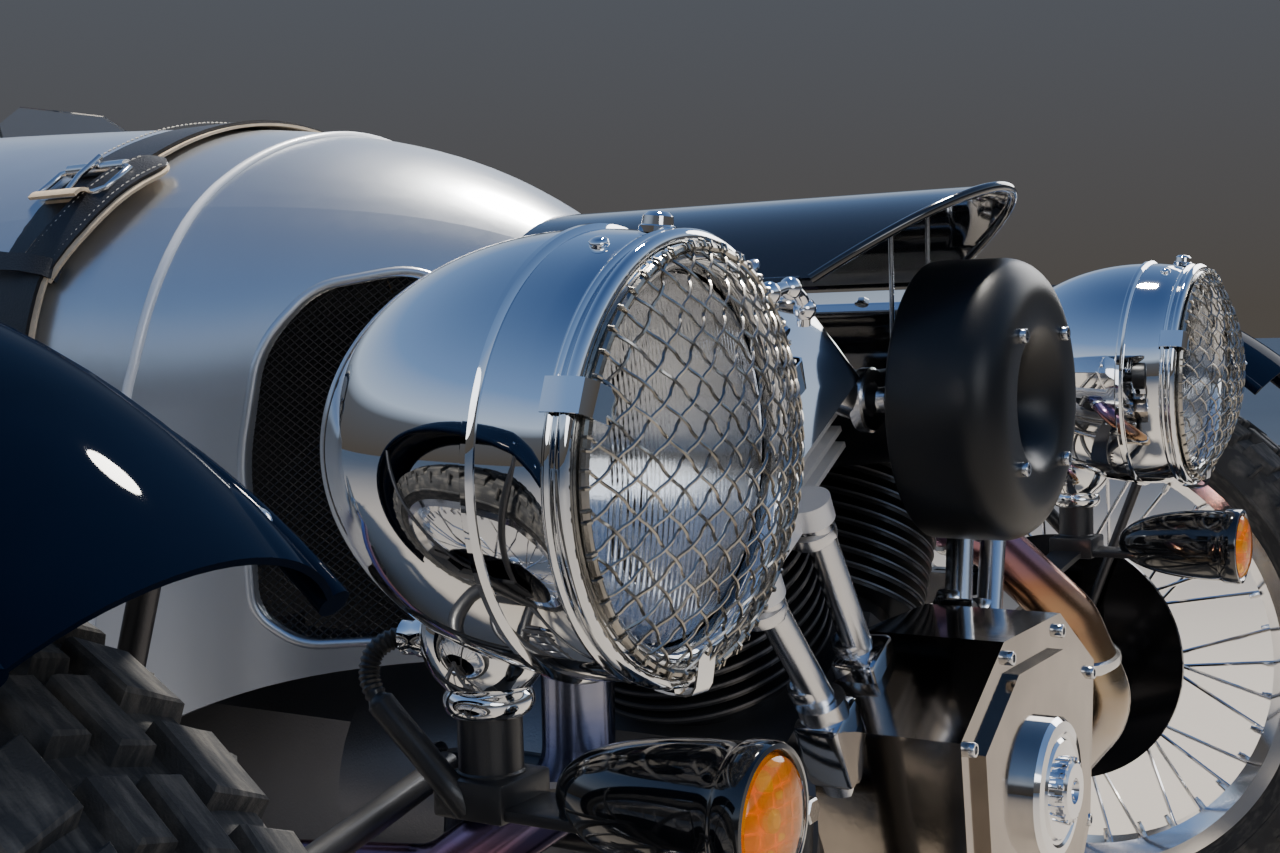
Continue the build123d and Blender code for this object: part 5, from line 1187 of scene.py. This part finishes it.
def stuffed(name, profile, cap, pleats_on, stands_for):
    """A pad from its side outline: remeshed, blown up a little as cloth, then pleated."""
    inner, outer = SEAT_INNER + 4, SEAT_OUTER - 4
    count = len(profile)
    verts = [at(inner, y, z) for y, z in profile]
    verts += [at(outer - max(0.0, z - 470) * 0.26, y, z) for y, z in profile]
    faces = [tuple(range(count))[::-1], tuple(range(count, 2 * count)), *walls(0, count, count)]
    mesh = bpy.data.meshes.new(name)
    mesh.from_pydata([tuple(v) for v in verts], [], faces)
    pad = bpy.data.objects.new(name, mesh)
    bpy.context.collection.objects.link(pad)
    remesh = pad.modifiers.new("even", "REMESH")
    remesh.mode, remesh.voxel_size = "VOXEL", 0.008
    depsgraph = bpy.context.evaluated_depsgraph_get()
    even = bpy.data.meshes.new_from_object(pad.evaluated_get(depsgraph))
    pad.modifiers.remove(remesh)
    pad.data = even
    start = [v.co.copy() for v in even.vertices]
    cloth = pad.modifiers.new("stuffing", "CLOTH")
    cloth.settings.use_pressure = True
    cloth.settings.uniform_pressure_force = 4
    cloth.settings.effector_weights.gravity = 0
    scene = bpy.context.scene
    for frame_number in range(1, 13):
        scene.frame_set(frame_number)
    depsgraph = bpy.context.evaluated_depsgraph_get()
    blown = bpy.data.meshes.new_from_object(pad.evaluated_get(depsgraph))
    pad.modifiers.remove(cloth)
    for point, was, now in zip(even.vertices, start, blown.vertices):
        moved = now.co - was
        point.co = was + moved * min(1.0, cap / max(moved.length, 1e-9))
    scene.frame_set(1)
    rounder = pad.modifiers.new("rounder", "SUBSURF")
    rounder.levels = 1
    fine = bpy.data.meshes.new_from_object(pad.evaluated_get(bpy.context.evaluated_depsgraph_get()))
    pad.modifiers.remove(rounder)
    pad.data = even = fine
    normals = [v.normal.copy() for v in even.vertices]
    for point, normal in zip(even.vertices, normals):
        across = (point.co.x * 1000 - (inner + outer) / 2) / (outer - inner)
        facing_up = max(0.0, normal.dot(pleats_on))
        if abs(across) < PLEATED and facing_up > 0.5:
            lane = abs(math.sin(math.pi * (across + PLEATED) / (2 * PLEATED) * PLEATS))
            edge = min(1.0, (PLEATED - abs(across)) / PLEAT_EDGE)
            point.co -= normal * PLEAT_DEEP * (1 - lane ** 0.55) * edge
    even.polygons.foreach_set("use_smooth", [True] * len(even.polygons))
    even.materials.append(hide_seat)
    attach(pad, "root")
    twin_mesh = even.copy()
    for point in twin_mesh.vertices:
        point.co.x = -point.co.x
    twin_mesh.flip_normals()
    twin = bpy.data.objects.new(f"{name}_right", twin_mesh)
    pad.name = f"{name}_left"
    bpy.context.collection.objects.link(twin)
    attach(twin, "root")
    for made in (pad, twin):
        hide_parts(stands_for)


cushion_side = [(1236, 252), (1250, 240), (1590, 240), (1604, 252), (1604, 306), (1590, 320), (1400, 316),
                (1260, 324), (1236, 308)]
squab_side = [(1626, 242), (1728, 242), (1741, 752), (1702, 772), (1668, 738), (1640, 560), (1620, 350)]
stuffed("seat_cushion", cushion_side, 0.009, Vector((0, 0, 1)), "seat_cushions")
stuffed("seat_squab", squab_side, 0.008, Vector((0, -1, 0.06)).normalized(), "seat_backs")
piping = []
piped_edge = ((1246, 318), (1330, 326), (1420, 325), (1520, 326), (1594, 320))
for side in (-1, 1):
    for x in (SEAT_INNER + 8, SEAT_OUTER - 8):
        piping.append(tube(smooth_run([at(side * x, y, z) for y, z in piped_edge], 5), 0.0035, 8))
piece("seat_piping", merged(*piping), tan_backing, "root")

# Dashboard: a satin alloy panel with three instruments in chromed bezels and a row of toggle
# switches. The dials carry plain ticks and a needle under domed glass, no words.
dash_alloy = finish("dash_alloy", (0.42, 0.43, 0.44), 0.28, metal=0.9, vary=0.08, mottle=60, grain=1400,
                    bump=0.12, stretch=(6, 1, 1))
dial_black = finish("dial_black", (0.01, 0.01, 0.012), 0.5)
dial_marks = finish("dial_marks", (0.75, 0.73, 0.66), 0.5)
clear_screen = glassy("clear_screen", (0.96, 0.98, 0.98), 0.01, 1.45)
dress(dash_alloy, "dashboard")
DASH_FACE = 976
bezels, faces_of, marks, covers_of = [], [], [], []
for x, z, r in ((0, 812, 48), (112, 808, 34), (-92, 806, 26)):
    spot = facing(at(x, DASH_FACE, z), (0, 1, 0))
    bezel = lathe([(r - 3, 0), (r + 3, 0), (r + 4, 3), (r + 3, 8), (r, 10), (r - 3, 8), (r - 3, 3)], 48)
    bezels.append(placed(bezel, spot))
    faces_of.append(placed(lathe([(r - 2.6, 1), (r - 2.6, 3.4), (0, 3.4)], 48), spot))
    for k in range(21):
        turn = math.radians(225 - 13.5 * k)
        long = 7 if k % 5 == 0 else 4
        tick = chamfered((r - 8 - long, -0.5, 3.4), (r - 8, 0.5, 3.9), 0.1)
        marks.append(placed(tick, spot @ Matrix.Rotation(turn, 4, "Z")))
    needle = merged(chamfered((-6, -0.9, 4.4), (r - 14, 0.9, 5.2), 0.3),
                    lathe([(4, 4), (4, 6.4), (0, 6.8)], 20))
    marks.append(placed(needle, spot @ Matrix.Rotation(math.radians(205), 4, "Z")))
    cover = lathe([(r - 2.8, 6.6), (r - 2.8, 7.4), (0, 7.9), (0, 7.1), (r - 2.8, 6.6)], 48)
    covers_of.append(placed(cover, spot))
for k in range(5):
    spot = facing(at(-60 + 30 * k, DASH_FACE, 738), (0, 1, 0))
    bezels.append(placed(lathe([(7, 0), (7, 2.4), (4.4, 4), (4, 7), (0, 7.4)], 6), spot))
    bezels.append(placed(tube([(0, 0, 5), (0, 5, 16), (0, 7.6, 24)], [1.6, 2, 2.9], 10), spot))
piece("dash_bezels", merged(*bezels), lamp_chrome, "root")
piece("dial_faces", merged(*faces_of), dial_black, "root")
piece("dial_marks", merged(*marks), dial_marks, "root")
piece("dial_glasses", merged(*covers_of), clear_screen, "root")

# Steering wheel: a hide-bound rim sewn on its inner side, three drilled alloy spokes and a domed
# boss. The shaft runs down through its column tube to the rack.
COLUMN_RAKE = math.radians(24)
column_up = Vector((0, math.cos(COLUMN_RAKE), math.sin(COLUMN_RAKE)))
wheel_place = facing(at(-215, 1140, 812), column_up)
rim_run = [(172 * math.cos(t), 172 * math.sin(t), 0) for t in (math.tau * k / 96 for k in range(96))]
rim_sizes = [14.4 + 0.7 * math.cos(math.tau * k / 96 * 24) for k in range(96)]
piece("wheel_hide_rim", placed(tube(rim_run, rim_sizes, 20, closed=True), wheel_place), hide_black,
      "steering_wheel", ("steering_wheel",), sharp=80)
rim_threads = [placed(tube([(157.2, -2.4, -2), (156.6, 0, 0), (157.2, 2.4, 2)], [0.5, 0.9, 0.5], 5),
                      Matrix.Rotation(math.tau * k / 150, 4, "Z")) for k in range(150)]
piece("wheel_stitches", placed(merged(*rim_threads), wheel_place), thread, "steering_wheel",
      sharp=80)


def spoke_plate():
    """One flat spoke with three drilled holes, narrowing towards the rim."""
    built = bmesh.new()
    outline = [(20, -15), (162, -10), (162, 10), (20, 15)]
    rings = [[Vector((x, y, z)) for x, y in outline] for z in (-14, -9)]
    corners = [[built.verts.new(v) for v in ring] for ring in rings]
    holes = []
    for ring, way in ((corners[0], -1), (corners[1], 1)):
        edges = [built.edges.new((ring[k], ring[(k + 1) % 4])) for k in range(4)]
        for x, r in ((60, 7.5), (92, 6.2), (120, 5)):
            loop = [built.verts.new((x + r * math.cos(t), r * math.sin(t), ring[0].co.z))
                    for t in (math.tau * k / 20 for k in range(20))]
            edges += [built.edges.new((loop[k], loop[(k + 1) % 20])) for k in range(20)]
            holes.append(loop)
        bmesh.ops.triangle_fill(built, use_beauty=True, edges=edges)
    for k in range(4):
        built.faces.new((corners[0][k], corners[0][(k + 1) % 4], corners[1][(k + 1) % 4], corners[1][k]))
    for low, high in zip(holes[:3], holes[3:]):
        for k in range(20):
            built.faces.new((low[k], high[k], high[(k + 1) % 20], low[(k + 1) % 20]))
    built.verts.index_update()
    form = [v.co.copy() for v in built.verts], [tuple(v.index for v in f.verts) for f in built.faces]
    built.free()
    return form


hub_forms = [placed(spoke_plate(), Matrix.Rotation(math.radians(t), 4, "Z")) for t in (-90, 30, 150)]
hub_forms.append(lathe([(0, -31), (34, -31), (34, -8), (32, -5), (24, -2), (22, 4), (12, 8), (0, 9)], 48))
hub_forms += [placed(socket_screw(Vector((0, 0, 0)), (0, 0, 1), 6),
                     Matrix.Translation((28 * math.cos(t), 28 * math.sin(t), -4)) @ Matrix.Scale(1000, 4))
              for t in (math.tau * k / 6 for k in range(6))]
hub_forms.append(lathe([(0, -475), (13, -475), (14, -474), (14, -31)], 24))
piece("wheel_spokes", placed(merged(*hub_forms), wheel_place), hand_polished, "steering_wheel")
dress(powder_black, "steering_column")

# Tunnel, toe board and controls: a carpeted tunnel cover, a sloping black steel board that closes the
# footwell from the firewall down to the floor and is cut out round the gearbox, polished gear and
# brake levers, and pedals with ribbed rubber pads.
carpet = finish("carpet", (0.03, 0.03, 0.033), 0.95, vary=0.4, mottle=300, grain=1600, bump=0.9, sheen=0.4)
dress(carpet, "tunnel")
BOARD_TOP_Y, BOARD_TOP_Z, BOARD_BACK, BOARD_DROP, BOARD_THICK = 574, 330, 188, 179, 3
BOARD_TOP_HALF, BOARD_FOOT_HALF, GEARBOX_HALF, PAN_HALF, PAN_END = 268, 360, 146, 446, 955
board_outline = [(GEARBOX_HALF, 0), (BOARD_TOP_HALF, 0), (BOARD_FOOT_HALF, 1)]
board_outline += [(-x, down) for x, down in reversed(board_outline)]
board_outline += [(-GEARBOX_HALF, 0.75), (GEARBOX_HALF, 0.75)]
board_verts = [at(x, BOARD_TOP_Y + BOARD_BACK * down, BOARD_TOP_Z - BOARD_DROP * down - sunk)
               for sunk in (0, BOARD_THICK) for x, down in board_outline]
corners = len(board_outline)
board_faces = [tuple(range(corners)), tuple(reversed(range(corners, 2 * corners)))]
board_faces += [(k, corners + k, corners + (k + 1) % corners, (k + 1) % corners) for k in range(corners)]
cheeks = []
for side in (-1, 1):
    cheek_verts = []
    for y in range(BOARD_TOP_Y + 2, PAN_END + 1, 18):
        back, beyond = y - BOARD_TOP_Y, y - BOARD_TOP_Y - BOARD_BACK
        foot_z = max(152, BOARD_TOP_Z - BOARD_DROP * back / BOARD_BACK)
        foot_x = BOARD_TOP_HALF + (BOARD_FOOT_HALF - BOARD_TOP_HALF) * back / BOARD_BACK
        if beyond >= 0:
            foot_x = BOARD_FOOT_HALF + (PAN_HALF - BOARD_FOOT_HALF) * beyond / (
                PAN_END - BOARD_TOP_Y - BOARD_BACK)
        wall = struck(cowl_skin, at(0, y, 440), (side, 0, 0))
        for in_by in (0, BOARD_THICK):
            cheek_verts.append(at(side * (foot_x - in_by), y, foot_z))
            cheek_verts.append(Vector((wall.x - side * (4 + in_by) / 1000, wall.y, wall.z)))
    last = len(cheek_verts) - 4
    cheek_faces = [(0, 1, 3, 2), (last, last + 2, last + 3, last + 1)]
    for k in range(0, last, 4):
        cheek_faces += [(k, k + 4, k + 5, k + 1), (k + 2, k + 3, k + 7, k + 6), (k, k + 2, k + 6, k + 4),
                        (k + 1, k + 5, k + 7, k + 3)]
    cheeks.append((cheek_verts, cheek_faces))
piece("toe_board", merged((board_verts, board_faces), *cheeks), powder_black, "root", sharp=20)
dress(hand_polished, "controls")
pads = []
for x in (-135, -195, -255):
    for k in range(6):
        pads.append(chamfered((x - 20, 701, 334 + 11 * k), (x + 20, 704.5, 341 + 11 * k), 1.4))
pad_place = Matrix.Translation(at(0, 0, 0)) @ Matrix.Scale(0.001, 4)
piece("pedal_pads", placed(merged(*pads), pad_place), tread_rubber, "root")
brake_grip = lathe([(11.5, 0), (13.5, 3), (13.5, 84), (11.5, 88), (0, 88)], 24)
gear_knob = lathe([(0, -4), (12, -2), (18, 4), (22.4, 12), (23.4, 22), (22.4, 32), (18, 40), (10, 44),
                   (0, 45)], 32)
grips = [placed(brake_grip, facing(at(40, 1236, 380), Vector((0, -170, 90)))),
         placed(gear_knob, facing(at(0, 1098, 498), (0, 0.11, 1)))]
piece("lever_grips", merged(*grips), gloss_black, "root")

# Roll hoops and aero screens: bent tube in gloss black on turned collars, and two small screens of
# clear acrylic sheet let into the scuttle.
dress(gloss_black, "roll_hoops")
dress(clear_screen, "aero_screens")
hoop_feet = []
for side in (-1, 1):
    for x in (95, 345):
        spot = struck(tub_skin, at(side * (x + 26), 1785, 1200), (0, 0, -1))
        ring = lathe([(19.4, -6), (34, -6), (34, 2), (32, 4), (22, 5), (19.4, 9), (19.4, -6)], 40)
        hoop_feet.append(placed(ring, facing(Vector((side * x / 1000, spot.y, spot.z)), (0, 0, 1))))
bright_parts("hoop_feet", hoop_feet)

# Tail: two round lamps in chromed shells half sunk in the taper, and the blank alloy plate with its
# pressed border, held by two dome-headed screws.
red_glass = glassy("red_glass", (0.75, 0.02, 0.015), 0.06)
plate_alloy = finish("plate_alloy", (0.78, 0.78, 0.76), 0.4, metal=0.2, vary=0.04, grain=900)
dress(plate_alloy, "number_plate")
dress(lamp_chrome, "tail_lamps")
tail_lens = lathe([(0, 0.4), (29, 0.4), (29, 3), (27, 7), (20, 10.5), (10, 12.4), (0, 13)], 48)
tail_bead = lathe([(28.6, 0), (34.6, 0), (35.4, 2), (34.4, 5), (31.6, 6.2), (28.6, 4.6)], 56)
lenses, beads = [], []
for side in (-1, 1):
    place = facing(at(side * 190, 2695, 560), (0, 1, 0))
    lenses.append(placed(tail_lens, place))
    beads.append(placed(tail_bead, place))
piece("tail_lenses", merged(*lenses), red_glass, "root")
piece("tail_bezels", merged(*beads), lamp_chrome, "root")
plate_edge = [at(x, 2774, z) for x, z in ((-111, 334), (111, 334), (111, 504), (-111, 504))]
border_run = [a.lerp(b, share) for a, b in zip(plate_edge, plate_edge[1:] + plate_edge[:1])
              for share in (0.02, 0.98)]
piece("plate_border", tube(border_run, 0.0016, 8, closed=True), plate_alloy, "root")
plate_screw = lathe([(6.5, 0), (6, 1.8), (3.6, 3.4), (0, 3.8)], 20)
bright_parts("plate_screws", [placed(plate_screw, facing(at(x, 2773, 490), (0, 1, 0))) for x in (-80, 80)])

# A pale studio: one sweep of matt floor, soft boxes above and beside, and the lens low beside the
# right headlamp, looking back across the engine.
floor_mesh = bpy.data.meshes.new("floor")
floor_mesh.from_pydata([(-40, -40, 0), (40, -40, 0), (40, 40, 0), (-40, 40, 0)], [], [(0, 1, 2, 3)])
floor = bpy.data.objects.new("floor", floor_mesh)
bpy.context.collection.objects.link(floor)
floor.location.z = cad_box[0][2] - 0.0005
floor_mesh.materials.append(finish("floor_paint", (0.42, 0.375, 0.32), 0.7, vary=0.04, mottle=0.6, grain=60))
sky = bpy.data.worlds.new("studio")
bpy.context.scene.world = sky
sky.use_nodes = True
nodes, links = sky.node_tree.nodes, sky.node_tree.links
where, split = node(nodes, "TexCoord"), node(nodes, "SeparateXYZ")
fall = colour_ramp(nodes, ((0.0, (0.09, 0.08, 0.07)), (0.2, (0.1, 0.11, 0.13)), (0.28, (0.54, 0.66, 0.84)),
                           (0.5, (0.21, 0.35, 0.64)), (1.0, (0.05, 0.11, 0.28))))
links.new(where.outputs["Generated"], split.inputs["Vector"])
links.new(split.outputs["Z"], fall.inputs["Fac"])
links.new(fall.outputs["Color"], nodes["Background"].inputs["Color"])
nodes["Background"].inputs["Strength"].default_value = 0.9


def softbox(name, place, aim, wide, high, power, colour):
    lamp = bpy.data.lights.new(name, "AREA")
    lamp.shape = "ELLIPSE"
    lamp.size, lamp.size_y, lamp.energy, lamp.color = wide, high, power, colour
    held = bpy.data.objects.new(name, lamp)
    held.location = place
    held.rotation_euler = (Vector(aim) - Vector(place)).to_track_quat("-Z", "Y").to_euler()
    bpy.context.collection.objects.link(held)


target = at(-100, 0, 500)
softbox("sun_box", at(1300, 250, 4200), target, 0.5, 0.5, 350, (1, 0.95, 0.86))
softbox("front_box", at(-2400, -3200, 1700), target, 2.4, 1.6, 26, (0.95, 0.97, 1))
softbox("far_box", at(3600, -700, 2200), target, 2.4, 2.0, 60, (1, 0.98, 0.95))

VIEW_YAW, VIEW_PITCH, VIEW_ROLL = math.radians(31.85), math.radians(3.5), math.radians(-1.6)
FOCAL_PIXELS, FRAME_PIXELS, SENSOR_WIDE = 1660, 1280, 36
ahead = Vector((math.cos(VIEW_YAW) * math.cos(VIEW_PITCH), math.sin(VIEW_YAW) * math.cos(VIEW_PITCH),
                -math.sin(VIEW_PITCH)))
across = ahead.cross(Vector((0, 0, 1))).normalized()
upward = across.cross(ahead)
across, upward = (across * math.cos(VIEW_ROLL) + upward * math.sin(VIEW_ROLL),
                  upward * math.cos(VIEW_ROLL) - across * math.sin(VIEW_ROLL))
camera = bpy.data.objects.new("camera", bpy.data.cameras.new("camera"))
bpy.context.collection.objects.link(camera)
turn = Matrix((across, upward, -ahead)).transposed().to_4x4()
turn.translation = at(-1118, -591, 721)
camera.matrix_world = turn
camera.data.sensor_width = SENSOR_WIDE
camera.data.lens = SENSOR_WIDE * FOCAL_PIXELS / FRAME_PIXELS
camera.data.clip_start = 0.05
bpy.context.scene.camera = camera
